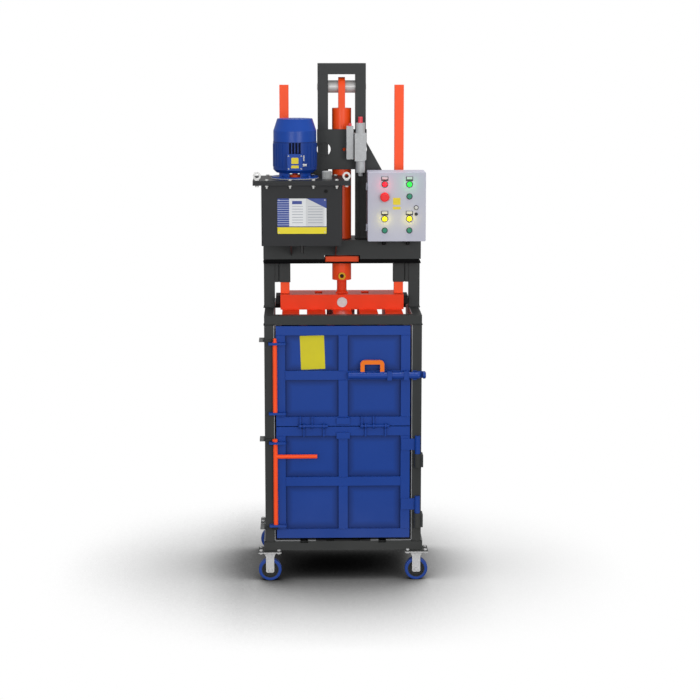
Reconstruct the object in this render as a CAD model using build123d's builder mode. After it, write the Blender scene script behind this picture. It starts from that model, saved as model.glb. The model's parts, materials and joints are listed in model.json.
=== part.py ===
from build123d import *

import math
import os

os.makedirs("parts", exist_ok=True)

# Driving dimensions in millimetres. X points to the operator's right, Y to the back and Z up.
# They count from the ram's axis on the floor. The saved pieces count from the middle of the
# rectangle on the floor that the whole machine covers.

# Square tube used for the base, the chamber and the doors
tube_size = 40
tube_wall = 3

# Base and chamber
base_half_width = 347
frame_half_width = 340
frame_half_depth = 275
base_bottom = 138
chamber_height = 1000
sheet = 3
floor_thickness = 5
floor_centre_half = 120
wall_setback = 3
rear_window_bottom = 1040
rear_strip_half = 64

# Strap grooves, shared by the floor and the platen
groove_width = 34
groove_inner_x = 57
groove_outer_x = 171
strap_channel_depth = 30
strap_notch_depth = 8

# Casters
wheel_radius = 50
wheel_width = 32
wheel_hub_radius = 37
wheel_boss_radius = 13
axle_radius = 5
running_fit = 0.05
caster_plate_width = 100
caster_plate_depth = 85
caster_plate_thickness = 4
caster_pad_thickness = 4
caster_bolt_x = 78
caster_bolt_y = 60
caster_inset = 26
fork_gap = 2
fork_thickness = 3
bolt_radius = 4
bolt_head_radius = 7.5
bolt_head_height = 5.5

# Upper posts, guide sleeves and crossbeam
post_width = 48
post_depth = 50
post_wall = 4
post_centre_x = 320
beam_half_width = 344
beam_half_depth = 100
beam_height = 83
beam_wall = 6
neck_height = 14
neck_setback = 12
beam_plate_thickness = 5
upper_post_height = 204
guide_bar_size = 40
guide_bar_x = 251
guide_clearance = 1
sleeve_wall = 3
sleeve_length = 92
bracket_seam = 5

# Portal and gusset plate
portal_height = 762
portal_width = 209
portal_leg_width = 45
portal_top_height = 47
portal_depth = 86
gusset_thickness = 8
gusset_top = 1963
gusset_strap_bottom = 1789
gusset_shoulder_z = 1906
gusset_half_top = 108
gusset_opening_half = 79
gusset_hole_radius = 30
gusset_hole_z = 1876
pilot_hole_x = 9

# Cylinder
barrel_radius = 42
barrel_wall = 7
barrel_bottom = 1300
gland_height = 40
flange_size = 148
flange_thickness = 23
flange_gap = 4
lug_drop = 92.5
lug_width = 29
lug_radius = 41
portal_pin_radius = 15
portal_pin_drop = 100.5
spacer_radius = 27
pin_proud = 2
loose_fit = 0.3
rod_radius = 21.5
piston_height = 40
port_z = 1320
port_radius = 15
port_bore = 9
port_length = 8
port_ring = 3

# Platen
platen_half_width = 271
platen_setback = 50
platen_top = 1241
platen_plate = 8
platen_channel_height = 58
pressing_half_width = 263
platen_segment_height = 63
platen_wall = 5
channel_depth = 35
channel_face_y = 75
channel_wall = 6
clevis_pin_radius = 22.5
clevis_pin_z = 1207
eye_width = 55
eye_thickness = 56
eye_clearance = 0.5
eye_shoulder = 4
guide_bar_top = 2153
pad_thickness = 20
pad_height = 38
pad_depth = 120

# Oil tank
tank_left = -347
tank_width = 343
tank_depth = 232
cover_gap = 2
tank_height = 259
tank_wall = 4
tank_rim = 10
tank_lip = 35
cover_thickness = 10
ring_to_bolt = 41.25
cover_bolt_radius = 4
cover_bolt_head = 7.5
cover_nut_height = 7
ring_radius = 17
ring_bore = 9
ring_thickness = 9
ring_stem = 2
shelf_width = 50
shelf_reach = 190
shelf_thickness = 5
shelf_web = 60
drain_radius = 10
drain_collar = 8
drain_plug = 26
shelf_beside_drain = 21.5
cap_beside_motor = 136
cap_before_motor = 72
cap_radius = 21
cap_height = 34
neck_radius = 16
filler_neck_height = 13

# Electric motor
motor_from_left = 143
motor_behind_middle = 14
motor_flange_radius = 100
motor_radius = 93
motor_flange_height = 8
lantern_height = 17
lantern_radius = 74
lantern_wall = 8
motor_taper = 13
motor_body_height = 119
cowl_band_height = 45
cowl_cone_height = 51
cowl_top_radius = 75
cowl_sheet = 2
shaft_radius = 12
coupling_radius = 34
fan_radius = 66
fan_height = 18
fan_blades = 8
fan_sheet = 3
fan_margin = 8
terminal_width = 66
terminal_height = 70
terminal_proud = 14
terminal_gland = 6.5

# Valve block
valve_back = 27
valve_x = 79
valve_body_width = 50
valve_body_bottom = 1829
valve_body_height = 119
valve_depth = 50
coil_radius = 20
upper_coil_height = 45
lower_coil_height = 50
lower_cap_length = 15
valve_cap_radius = 10
valve_cap_height = 26
relief_x = 34
relief_width = 30
relief_bottom = 1836
relief_height = 143
relief_cap_radius = 7.5
relief_cap_height = 12

# Control box
box_left = 107
box_width = 250
box_height = 296
box_bottom = 1491.5
box_back = -70
box_depth = 138
box_sheet = 2
box_hinge_low = 45
box_hinge_high = 75
box_door_depth = 12
box_door_gap = 0.3
box_door_sheet = 2
lamp_left_x = 180
lamp_right_x = 286
lamp_top_z = 1737
lamp_low_z = 1589
lamp_radius = 11
lamp_bezel = 3
lamp_proud = 9
holder_width = 30
holder_height = 19
holder_offset = 24
holder_thickness = 2
stop_z = 1683
stop_radius = 20
stop_stem_radius = 9
stop_travel = 5
button_top_z = 1685
button_low_z = 1539
button_radius = 10
button_travel = 4
button_ring = 3
box_lock_x = 315
box_lock_z = 1637
gland_radius = 11

# Doors
door_half_width = 290
door_proud = 1
door_recess = 15
door_bottom = 193.5
lower_door_height = 497
lower_mid_z = 427
flap_bottom = 694
flap_height = 438.5
flap_mid_z = 897
hinge_x = 323
hinge_proud = 15
hinge_pin_radius = 6
door_knuckle_radius = 11.7
frame_knuckle_radius = 15
hinge_leaf = 6
upper_hinge_z = 572
upper_hinge_length = 79
upper_hinge_foot = 61
lower_hinge_z = 307
lower_hinge_length = 76
lower_hinge_foot = 65
hinge_gap = 0.3
side_leaf = 8
side_leaf_depth = 50
leaf_left = 252
leaf_height = 50
flap_pin_z = 696
flap_pin_length = 126
flap_pin_radius = 6
flap_pin_starts = (-193, 74)
ear_thickness = 6
ear_pitch = 51
stop_block_width = 58
stop_block_height = 27
stop_block_depth = 10

# Door locks
lock_x = -294
lock_proud = 15
lock_radius = 9.5
lock_fit = 0.08
clip_thickness = 10
clip_left = -322
clip_right = -247
clip_proud = 30
upper_lock_bottom = 748
upper_lock_top = 1054
lower_lock_bottom = 259
lower_lock_top = 618
lock_handle_z = 562
lock_handle_radius = 9
lock_handle_reach = 181
stub_radius = 7
stub_length = 16
cam_reach = 13
cam_thickness = 9
keeper_thickness = 9
keeper_reach = 22
keeper_depth = 70
keeper_gap = 2

# Flap bolt
bolt_bar_radius = 15
bolt_bar_proud = 17
bolt_bar_z = 919
bolt_bar_left = 20
bolt_nose = 12
grip_left = 74
grip_width = 103
grip_top = 986
grip_bar = 18
guide_block = 20
guide_block_x = (200, 272)
receiver_end = 357
receiver_block = 12.5
receiver_wall = 4
receiver_clearance = 1.5
receiver_plate = 1.2

# Heights and faces that follow from the driving dimensions
base_top = base_bottom + tube_size
floor_top = base_top + floor_thickness
chamber_top = base_top + chamber_height
post_inner_x = frame_half_width - tube_size
post_centre = frame_half_width - tube_size / 2
rail_centre_y = frame_half_depth - tube_size / 2
inner_half_depth = frame_half_depth - tube_size
post_top = chamber_top + upper_post_height
neck_bottom = post_top + beam_plate_thickness
beam_bottom = neck_bottom + neck_height
beam_top = beam_bottom + beam_height
caster_x = base_half_width - caster_inset
caster_plate_top = base_bottom - caster_pad_thickness
gusset_front = -(portal_depth / 2 + gusset_thickness)
tank_bottom = beam_top
tank_front = gusset_front - cover_gap - tank_lip - tank_depth
tank_centre_x = tank_left + tank_width / 2
tank_centre_y = tank_front + tank_depth / 2
rim_bottom = tank_bottom + tank_height
cover_bottom = rim_bottom + tank_rim
cover_top = cover_bottom + cover_thickness
portal_top = beam_top + portal_height
portal_pin_z = portal_top - portal_pin_drop
barrel_top = portal_pin_z - lug_drop
platen_half_depth = frame_half_depth - platen_setback
motor_x = tank_left + motor_from_left
motor_y = tank_centre_y + motor_behind_middle
cap_x = motor_x + cap_beside_motor
cap_y = motor_y - cap_before_motor
door_front = -(frame_half_depth + door_proud)
hinge_y = -(frame_half_depth + hinge_proud)
lock_y = -(frame_half_depth + lock_proud)
clip_front = -(frame_half_depth + clip_proud)
bolt_bar_y = -(frame_half_depth + bolt_bar_proud)
bolt_bar_right = hinge_x + bolt_nose
box_front = box_back - box_depth
box_face = box_front - box_door_gap - box_door_depth
channel_bottom = platen_top - platen_plate - platen_channel_height
platen_bottom = channel_bottom - platen_segment_height
eye_radius = clevis_pin_z - channel_bottom - eye_clearance
left_end = tank_left - tank_lip
right_end = caster_x + caster_plate_width / 2
front_end = tank_front - tank_lip
back_end = rail_centre_y + caster_plate_depth / 2
floor_centre = Location((-(left_end + right_end) / 2, -(front_end + back_end) / 2, 0))


def write(piece, name):
    """Name one finished piece, count its place from the floor's middle and save it."""
    placed = piece.moved(floor_centre)
    placed.label = name
    export_step(placed, "parts/" + name + ".step")


def welded(*sections):
    """Join built sections into one piece, each still a solid of its own."""
    return Compound([solid for section in sections for solid in section.part.solids()])


def tube(plane, across, along, length, wall=tube_wall):
    """Add a rectangular tube, centred on the plane's origin, to the part being built."""
    with BuildSketch(plane) as section:
        Rectangle(across, along)
        Rectangle(across - 2 * wall, along - 2 * wall, mode=Mode.SUBTRACT)
    extrude(section.sketch, amount=length)


def upright(x, y, z, across, along, length, wall=tube_wall):
    """Add a tube that stands on height z."""
    tube(Plane((x, y, z)), across, along, length, wall)


def lengthwise(y, z, half_length, size=tube_size, wall=tube_wall):
    """Add a tube that runs from side to side."""
    tube(Plane((-half_length, y, z), x_dir=(0, 1, 0), z_dir=(1, 0, 0)), size, size, 2 * half_length, wall)


def crosswise(x, z, half_length, size=tube_size, wall=tube_wall):
    """Add a tube that runs from front to back."""
    tube(Plane((x, -half_length, z), x_dir=(1, 0, 0), z_dir=(0, 1, 0)), size, size, 2 * half_length, wall)


def block(x0, x1, y0, y1, z0, z1):
    """Add a plain plate or block between two corners."""
    with BuildSketch(Plane(((x0 + x1) / 2, (y0 + y1) / 2, z0))) as section:
        Rectangle(x1 - x0, y1 - y0)
    extrude(section.sketch, amount=z1 - z0)


def disc(plane, radius, length, mode=Mode.ADD):
    """Add or cut a round bar that grows from the plane."""
    with BuildSketch(plane) as section:
        Circle(radius)
    extrude(section.sketch, amount=length, mode=mode)


def hexagon(plane, radius, length):
    """Add a hexagonal head or nut."""
    with BuildSketch(plane) as section:
        RegularPolygon(radius, 6)
    extrude(section.sketch, amount=length)


def facing_front(x, y, z):
    """A plane whose normal points to the operator."""
    return Plane((x, y, z), x_dir=(1, 0, 0), z_dir=(0, -1, 0))


def facing_right(x, y, z):
    """A plane whose normal points to the operator's right."""
    return Plane((x, y, z), x_dir=(0, 1, 0), z_dir=(1, 0, 0))


# Base: four welded tubes on black pads, the front and rear ones notched for the outer straps.

with BuildPart() as base_rails:
    for end in (-1, 1):
        lengthwise(end * rail_centre_y, base_bottom + tube_size / 2, base_half_width)
    for side in (-1, 1):
        crosswise(side * (base_half_width - tube_size / 2), base_bottom + tube_size / 2, inner_half_depth)
    with BuildSketch(Plane.XY.offset(base_top)):
        with GridLocations(2 * groove_outer_x, 2 * rail_centre_y, 2, 2):
            Rectangle(groove_width, tube_size)
    extrude(amount=-strap_notch_depth, mode=Mode.SUBTRACT)
    with BuildSketch(Plane.XY.offset(caster_plate_top)):
        with GridLocations(2 * caster_x, 2 * rail_centre_y, 2, 2):
            Rectangle(caster_plate_width, caster_plate_depth)
            with GridLocations(caster_bolt_x, caster_bolt_y, 2, 2):
                Circle(bolt_radius, mode=Mode.SUBTRACT)
    extrude(amount=caster_pad_thickness)
write(base_rails.part, "base_rails")

# Rigid casters: a plate with two flared legs round each wheel, which rolls from side to side.

fork_leg_y = wheel_width / 2 + fork_gap
plate_bottom = caster_plate_top - caster_plate_thickness
leg_width = 36
leg_top_width = 56
leg_flare = 22
leg_drop = 13
leg_corner = 8
leg_hollow = 12

with BuildPart() as caster_forks:
    with BuildSketch(Plane.XY.offset(plate_bottom)):
        with GridLocations(2 * caster_x, 2 * rail_centre_y, 2, 2):
            Rectangle(caster_plate_width, caster_plate_depth)
            with GridLocations(caster_bolt_x, caster_bolt_y, 2, 2):
                Circle(bolt_radius, mode=Mode.SUBTRACT)
    extrude(amount=caster_plate_thickness)
    for end in (-1, 1):
        for leg in (-1, 1):
            near = end * rail_centre_y + leg * fork_leg_y
            far = near + leg * fork_thickness
            with BuildSketch(facing_front(0, max(near, far), 0)) as legs:
                with Locations((-caster_x, 0), (caster_x, 0)):
                    Polygon(
                        (-leg_top_width / 2, plate_bottom),
                        (-leg_width / 2, plate_bottom - leg_flare),
                        (-leg_width / 2, wheel_radius - leg_drop),
                        (leg_width / 2, wheel_radius - leg_drop),
                        (leg_width / 2, plate_bottom - leg_flare),
                        (leg_top_width / 2, plate_bottom),
                        align=None,
                    )
                fillet(legs.vertices().group_by(Axis.Y)[1], leg_hollow)
                fillet(legs.vertices().group_by(Axis.Y)[0], leg_corner)
                with Locations((-caster_x, wheel_radius), (caster_x, wheel_radius)):
                    Circle(axle_radius, mode=Mode.SUBTRACT)
            extrude(amount=fork_thickness)
write(caster_forks.part, "caster_forks")

axle_end = fork_leg_y + fork_thickness
axle_head = 5

with BuildPart() as caster_fasteners:
    for end in (-1, 1):
        for side in (-1, 1):
            for along in (-1, 1):
                for across in (-1, 1):
                    x = side * caster_x + across * caster_bolt_x / 2
                    y = end * rail_centre_y + along * caster_bolt_y / 2
                    disc(Plane((x, y, plate_bottom)), bolt_radius, base_bottom - plate_bottom)
                    hexagon(Plane((x, y, base_bottom)), bolt_head_radius, bolt_head_height)
                    hexagon(Plane((x, y, plate_bottom - bolt_head_height)), bolt_head_radius, bolt_head_height)
            axle = facing_front(side * caster_x, end * rail_centre_y + axle_end, wheel_radius)
            disc(axle, axle_radius, 2 * axle_end)
            hexagon(axle.offset(2 * axle_end), bolt_head_radius + 1, axle_head)
            hexagon(axle.offset(-axle_head), bolt_head_radius + 1, axle_head)
write(caster_fasteners.part, "caster_fasteners")

hub_web = 9
hub_rim = 4
boss_half = fork_leg_y - loose_fit
tyre_shoulder = 5
bore_radius = axle_radius + running_fit


for end, end_name in ((-1, "front"), (1, "rear")):
    for side, side_name in ((-1, "left"), (1, "right")):
        wheel_centre = (side * caster_x, end * rail_centre_y, wheel_radius)
        wheel_plane = Plane(wheel_centre, x_dir=(1, 0, 0), z_dir=(0, 0, 1))
        wheel_axis = Axis(wheel_centre, (0, 1, 0))
        with BuildPart() as wheel_hub:
            with BuildSketch(wheel_plane):
                with Locations(((bore_radius + wheel_hub_radius) / 2, 0)):
                    Rectangle(wheel_hub_radius - bore_radius, hub_web)
                with Locations(((bore_radius + wheel_boss_radius) / 2, 0)):
                    Rectangle(wheel_boss_radius - bore_radius, 2 * boss_half)
                with Locations((wheel_hub_radius - hub_rim / 2, 0)):
                    Rectangle(hub_rim, wheel_width - 2)
            revolve(axis=wheel_axis)
        with BuildPart() as wheel_tyre:
            with BuildSketch(wheel_plane) as tyre_section:
                with Locations(((wheel_hub_radius + wheel_radius) / 2, 0)):
                    Rectangle(wheel_radius - wheel_hub_radius, wheel_width)
                fillet(tyre_section.vertices().group_by(Axis.X)[-1], tyre_shoulder)
            revolve(axis=wheel_axis)
        write(welded(wheel_hub, wheel_tyre), "wheel_" + end_name + "_" + side_name)

# Floor: plates on the base tubes, notched round the posts, with four grooves over channels that the
# bale straps run in.

plate_half_depth = frame_half_depth - 5
outer_groove = (groove_outer_x - groove_width / 2, groove_outer_x + groove_width / 2)
inner_groove = (groove_inner_x - groove_width / 2, groove_inner_x + groove_width / 2)

with BuildPart() as floor_plates:
    for start, stop in ((floor_centre_half, outer_groove[0]), (outer_groove[1], base_half_width)):
        block(start, stop, -plate_half_depth, plate_half_depth, base_top, floor_top)
        block(-stop, -start, -plate_half_depth, plate_half_depth, base_top, floor_top)
    with BuildSketch(Plane.XY.offset(base_top)):
        with GridLocations(2 * post_centre, 2 * rail_centre_y, 2, 2):
            Rectangle(tube_size, tube_size)
    extrude(amount=floor_thickness, mode=Mode.SUBTRACT)

with BuildPart() as middle_plates:
    block(-inner_groove[0], inner_groove[0], -plate_half_depth, plate_half_depth, base_top, floor_top)
    block(inner_groove[1], floor_centre_half, -plate_half_depth, plate_half_depth, base_top, floor_top)
    block(-floor_centre_half, -inner_groove[1], -plate_half_depth, plate_half_depth, base_top, floor_top)
write(welded(floor_plates, middle_plates), "floor_plates")

with BuildPart() as strap_channels:
    for x in (-groove_outer_x, -groove_inner_x, groove_inner_x, groove_outer_x):
        with BuildSketch(facing_front(x, inner_half_depth, base_top - strap_channel_depth / 2)):
            Rectangle(groove_width + 2 * sheet, strap_channel_depth)
            with Locations((0, sheet / 2)):
                Rectangle(groove_width, strap_channel_depth - sheet, mode=Mode.SUBTRACT)
        extrude(amount=2 * inner_half_depth)
write(strap_channels.part, "strap_channels")

# Chamber: four corner posts under a ring of top rails, with sheet walls at the sides and the back. The
# back wall has two windows at the top, through which the straps are threaded.

post_length = chamber_height - tube_size

with BuildPart() as chamber_posts:
    with BuildSketch(Plane.XY.offset(base_top)):
        with GridLocations(2 * post_centre, 2 * rail_centre_y, 2, 2):
            Rectangle(tube_size, tube_size)
            Rectangle(tube_size - 2 * tube_wall, tube_size - 2 * tube_wall, mode=Mode.SUBTRACT)
    extrude(amount=post_length)
write(chamber_posts.part, "chamber_posts")

with BuildPart() as long_rails:
    for end in (-1, 1):
        lengthwise(end * rail_centre_y, chamber_top - tube_size / 2, frame_half_width)

with BuildPart() as side_rails:
    for side in (-1, 1):
        crosswise(side * post_centre, chamber_top - tube_size / 2, inner_half_depth)
write(welded(long_rails, side_rails), "chamber_rails")

post_head = base_top + post_length

with BuildPart() as side_walls:
    for side in (-1, 1):
        x0 = min(side * (post_inner_x - sheet), side * post_inner_x)
        block(x0, x0 + sheet, -inner_half_depth, inner_half_depth, floor_top, chamber_top)

with BuildPart() as wall_lips:
    for side in (-1, 1):
        x0 = min(side * (post_inner_x - sheet), side * post_inner_x)
        block(x0, x0 + sheet, wall_setback - frame_half_depth, -inner_half_depth, floor_top, post_head)

with BuildPart() as back_wall:
    block(-post_inner_x, post_inner_x, inner_half_depth, inner_half_depth + sheet,
          floor_top, rear_window_bottom)

with BuildPart() as back_strip:
    block(-rear_strip_half, rear_strip_half, inner_half_depth, inner_half_depth + sheet,
          rear_window_bottom, post_head)
write(welded(side_walls, wall_lips, back_wall, back_strip), "chamber_walls")

# Upper posts on the side rails, and the sleeves that guide the two ram bars.

sleeve_size = guide_bar_size + 2 * guide_clearance + 2 * sleeve_wall
sleeve_bottom = post_top - sleeve_length
bracket_start = guide_bar_x + sleeve_size / 2
bracket_stop = post_centre_x - post_width / 2
bracket_depth = 40
bracket_neck = 24

with BuildPart() as upper_posts:
    for side in (-1, 1):
        upright(side * post_centre_x, 0, chamber_top, post_width, post_depth, upper_post_height, post_wall)
write(upper_posts.part, "upper_posts")

with BuildPart() as guide_sleeves:
    for side in (-1, 1):
        upright(side * guide_bar_x, 0, sleeve_bottom, sleeve_size, sleeve_size, sleeve_length, sleeve_wall)
        with BuildSketch(Plane((0, 0, sleeve_bottom))) as bracket:
            with Locations((side * (bracket_start + bracket_seam / 2), 0)):
                Rectangle(bracket_seam, bracket_neck)
            with Locations((side * (bracket_start + bracket_seam + bracket_stop) / 2, 0)):
                Rectangle(bracket_stop - bracket_start - bracket_seam, bracket_depth)
        extrude(bracket.sketch, amount=sleeve_length)
write(guide_sleeves.part, "guide_sleeves")

# Crossbeam: a box beam on a set-back neck and a thin base plate, bored for the barrel and the bars.

bar_hole = guide_bar_size + 2 * guide_clearance + 2
barrel_hole = barrel_radius + guide_clearance / 2
flange_notch = flange_size + 2 * flange_gap
notch_top = neck_bottom + flange_thickness + 2 * flange_gap


def bar_holes(plane, depth):
    """Cut the two square holes for the guide bars and the round one for the barrel."""
    with BuildSketch(plane) as holes:
        with Locations((-guide_bar_x, 0), (guide_bar_x, 0)):
            Rectangle(bar_hole, bar_hole)
        Circle(barrel_hole)
    extrude(holes.sketch, amount=depth, mode=Mode.SUBTRACT)


with BuildPart() as crossbeam_plate:
    with BuildSketch(Plane.XY.offset(post_top)):
        Rectangle(2 * beam_half_width, 2 * beam_half_depth)
    extrude(amount=beam_plate_thickness)
    bar_holes(Plane.XY.offset(post_top), beam_plate_thickness)

with BuildPart() as crossbeam_neck:
    with BuildSketch(Plane.XY.offset(neck_bottom)):
        Rectangle(2 * (beam_half_width - neck_setback), 2 * (beam_half_depth - neck_setback))
        Rectangle(flange_notch, 2 * beam_half_depth, mode=Mode.SUBTRACT)
    extrude(amount=neck_height)
    bar_holes(Plane.XY.offset(neck_bottom), neck_height)
write(welded(crossbeam_plate, crossbeam_neck), "crossbeam_base")

with BuildPart() as crossbeam:
    with BuildSketch(Plane.XY.offset(beam_bottom)):
        Rectangle(2 * beam_half_width, 2 * beam_half_depth)
    extrude(amount=beam_height)
    with BuildSketch(Plane.XY.offset(beam_bottom + beam_wall)):
        Rectangle(2 * (beam_half_width - beam_wall), 2 * (beam_half_depth - beam_wall))
    extrude(amount=beam_height - 2 * beam_wall, mode=Mode.SUBTRACT)
    bar_holes(Plane.XY.offset(beam_bottom), beam_height)
    with BuildSketch(Plane.XY.offset(beam_bottom)):
        Rectangle(flange_notch, 2 * beam_half_depth)
    extrude(amount=notch_top - beam_bottom, mode=Mode.SUBTRACT)
    for x in (tank_centre_x - shelf_beside_drain - shelf_width, tank_left + tank_width - shelf_width):
        block(x, x + shelf_width, -beam_half_depth - shelf_reach, -beam_half_depth,
              beam_top - shelf_thickness, beam_top)
        with BuildSketch(facing_right(x + (shelf_width - shelf_thickness) / 2, 0, 0)):
            Polygon(
                (-beam_half_depth, beam_top - shelf_thickness),
                (-beam_half_depth - shelf_reach, beam_top - shelf_thickness),
                (-beam_half_depth, beam_top - shelf_thickness - shelf_web),
                align=None,
            )
        extrude(amount=shelf_thickness)
write(crossbeam.part, "crossbeam")

# Portal over the cylinder, with the plate that stiffens it and carries the control box.

leg_x = (portal_width - portal_leg_width) / 2
leg_length = portal_height - portal_top_height

with BuildPart() as portal_legs:
    for side in (-1, 1):
        upright(side * leg_x, 0, beam_top, portal_leg_width, portal_depth, leg_length, tube_wall)
    disc(facing_right(-portal_width / 2, 0, portal_pin_z), portal_pin_radius, portal_width, Mode.SUBTRACT)

with BuildPart() as portal_head:
    with BuildSketch(facing_right(-portal_width / 2, 0, portal_top - portal_top_height / 2)):
        Rectangle(portal_depth, portal_top_height)
        Rectangle(portal_depth - 2 * tube_wall, portal_top_height - 2 * tube_wall, mode=Mode.SUBTRACT)
    extrude(amount=portal_width)
write(welded(portal_legs, portal_head), "portal")

box_bar_z = (1555, 1700)
box_bar_height = 30
box_bar_right = (290, 215)

with BuildPart() as gusset_plate:
    with BuildSketch(facing_front(0, -portal_depth / 2, 0)):
        Polygon(
            (-gusset_half_top, gusset_top),
            (gusset_half_top, gusset_top),
            (gusset_half_top, gusset_shoulder_z),
            (beam_half_width, beam_top),
            (gusset_opening_half, beam_top),
            (gusset_opening_half, gusset_strap_bottom),
            (-gusset_opening_half, gusset_strap_bottom),
            (-gusset_opening_half, beam_top),
            (-beam_half_width, beam_top),
            (-gusset_half_top, gusset_shoulder_z),
            align=None,
        )
        with Locations((-gusset_opening_half, gusset_hole_z), (gusset_opening_half, gusset_hole_z)):
            Circle(gusset_hole_radius, mode=Mode.SUBTRACT)
        with Locations((pilot_hole_x, gusset_hole_z)):
            Circle(bolt_head_radius, mode=Mode.SUBTRACT)
    extrude(amount=gusset_thickness)
    for height, right in zip(box_bar_z, box_bar_right):
        with BuildSketch(facing_right(box_left, 0, height)):
            with Locations(((box_back + gusset_front) / 2, 0)):
                Rectangle(gusset_front - box_back, box_bar_height)
            with Locations(((box_back + gusset_front) / 2, -sheet)):
                Rectangle(gusset_front - box_back - 2 * sheet, box_bar_height, mode=Mode.SUBTRACT)
        extrude(amount=right - box_left)
write(gusset_plate.part, "gusset_plate")

# Cylinder: barrel with a lug at the top and a gland at the foot, its flange on the crossbeam plate.

with BuildPart() as cylinder_barrel:
    disc(Plane.XY.offset(barrel_bottom), barrel_radius, barrel_top - barrel_bottom)
    with BuildSketch(facing_right(-lug_width / 2, 0, 0)):
        with Locations((0, portal_pin_z)):
            Circle(lug_radius)
        with Locations((0, (barrel_top + portal_pin_z) / 2)):
            Rectangle(2 * lug_radius, portal_pin_z - barrel_top)
        with Locations((0, portal_pin_z)):
            Circle(portal_pin_radius, mode=Mode.SUBTRACT)
    extrude(amount=lug_width)
    disc(Plane.XY.offset(barrel_bottom + gland_height), barrel_radius - barrel_wall,
         barrel_top - barrel_bottom - gland_height - 2 * barrel_wall, Mode.SUBTRACT)
    disc(facing_front(0, 0, port_z), port_radius, barrel_radius + port_length)
    disc(Plane.XY.offset(barrel_bottom), rod_radius + running_fit, gland_height, Mode.SUBTRACT)
    disc(facing_front(0, -rod_radius - 2 * port_ring, port_z), port_bore, barrel_radius, Mode.SUBTRACT)
    with BuildSketch(Plane.XY.offset(neck_bottom)):
        Rectangle(flange_size, flange_size)
        Circle(barrel_radius, mode=Mode.SUBTRACT)
    extrude(amount=flange_thickness)
    fillet(cylinder_barrel.edges().filter_by(Axis.Z).group_by(Axis.Y)[0], 3)

with BuildPart() as cylinder_port:
    with BuildSketch(facing_front(0, -barrel_radius - port_length, port_z)):
        Circle(port_radius + 1)
        Circle(port_bore, mode=Mode.SUBTRACT)
    extrude(amount=port_ring)
    fillet(cylinder_port.edges().group_by(Axis.Y)[0], 1)
write(welded(cylinder_barrel, cylinder_port), "cylinder_barrel")

pin_half = portal_width / 2 + pin_proud
spacer_inner = portal_width / 2 - portal_leg_width

with BuildPart() as portal_pin:
    disc(facing_right(-pin_half, 0, portal_pin_z), portal_pin_radius, 2 * pin_half)
    chamfer(portal_pin.edges().filter_by(GeomType.CIRCLE), 1)
    for start in (-spacer_inner, lug_width / 2):
        with BuildSketch(facing_right(start, 0, portal_pin_z)):
            Circle(spacer_radius)
            Circle(portal_pin_radius + loose_fit, mode=Mode.SUBTRACT)
        extrude(amount=spacer_inner - lug_width / 2)
write(portal_pin.part, "portal_pin")

# Ram: piston rod with its eye, clevis pin, platen, guide bars and the pads that rub in the chamber.

rod_top = barrel_top - 2 * barrel_wall - piston_height
eye_shoulder_z = platen_top + eye_shoulder

with BuildPart() as piston_rod:
    disc(Plane.XY.offset(eye_shoulder_z), rod_radius, rod_top - eye_shoulder_z)
    disc(Plane.XY.offset(rod_top - piston_height), barrel_radius - barrel_wall - running_fit, piston_height)
    with BuildSketch(facing_front(0, eye_thickness / 2, 0)):
        with Locations((0, clevis_pin_z)):
            Circle(eye_radius)
        with Locations((0, (clevis_pin_z + eye_shoulder_z) / 2)):
            Rectangle(eye_width, eye_shoulder_z - clevis_pin_z)
        with Locations((0, clevis_pin_z)):
            Circle(clevis_pin_radius + running_fit, mode=Mode.SUBTRACT)
    extrude(amount=eye_thickness)
    with BuildSketch(Plane.XY.offset(eye_shoulder_z)):
        Rectangle(eye_width, eye_thickness)
    with BuildSketch(Plane.XY.offset(eye_shoulder_z + 10)):
        Circle(rod_radius)
    loft()
write(piston_rod.part, "piston_rod")

with BuildPart() as clevis_pin:
    disc(facing_front(0, channel_face_y + 3, clevis_pin_z), clevis_pin_radius, 2 * (channel_face_y + 3))
    chamfer(clevis_pin.edges().filter_by(GeomType.CIRCLE), 1.5)
write(clevis_pin.part, "clevis_pin")

segment_edges = (
    (-inner_groove[0], inner_groove[0]),
    (inner_groove[1], outer_groove[0]),
    (outer_groove[1], pressing_half_width),
    (-outer_groove[0], -inner_groove[1]),
    (-pressing_half_width, -outer_groove[1]),
)
channel_top = channel_bottom + platen_channel_height
slot_x = 103
slot_width = 34

with BuildPart() as pressing_bars:
    for start, stop in segment_edges:
        middle_z = (platen_bottom + channel_bottom) / 2
        with BuildSketch(facing_front((start + stop) / 2, platen_half_depth, middle_z)):
            Rectangle(stop - start, platen_segment_height)
            Rectangle(stop - start - 2 * platen_wall, platen_segment_height - 2 * platen_wall, mode=Mode.SUBTRACT)
        extrude(amount=2 * platen_half_depth)

with BuildPart() as platen_channels:
    for end in (-1, 1):
        with BuildSketch(facing_right(-platen_half_width, 0, (channel_bottom + channel_top) / 2)):
            with Locations((end * (channel_face_y - channel_depth / 2), 0)):
                Rectangle(channel_depth, platen_channel_height)
            with Locations((end * (channel_face_y - channel_depth / 2 - channel_wall), 0)):
                Rectangle(channel_depth, platen_channel_height - 2 * channel_wall, mode=Mode.SUBTRACT)
        extrude(amount=2 * platen_half_width)
    with BuildSketch(Plane.XY.offset(channel_top)):
        Rectangle(2 * platen_half_width, 2 * channel_face_y)
        Rectangle(eye_width + 2 * loose_fit, eye_thickness + 2 * loose_fit, mode=Mode.SUBTRACT)
        with Locations((-slot_x, 0), (slot_x, 0)):
            Rectangle(slot_width, channel_face_y, mode=Mode.SUBTRACT)
    extrude(amount=platen_plate)
    disc(facing_front(0, 2 * channel_face_y, clevis_pin_z), clevis_pin_radius, 4 * channel_face_y, Mode.SUBTRACT)
write(welded(pressing_bars, platen_channels), "platen")

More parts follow.
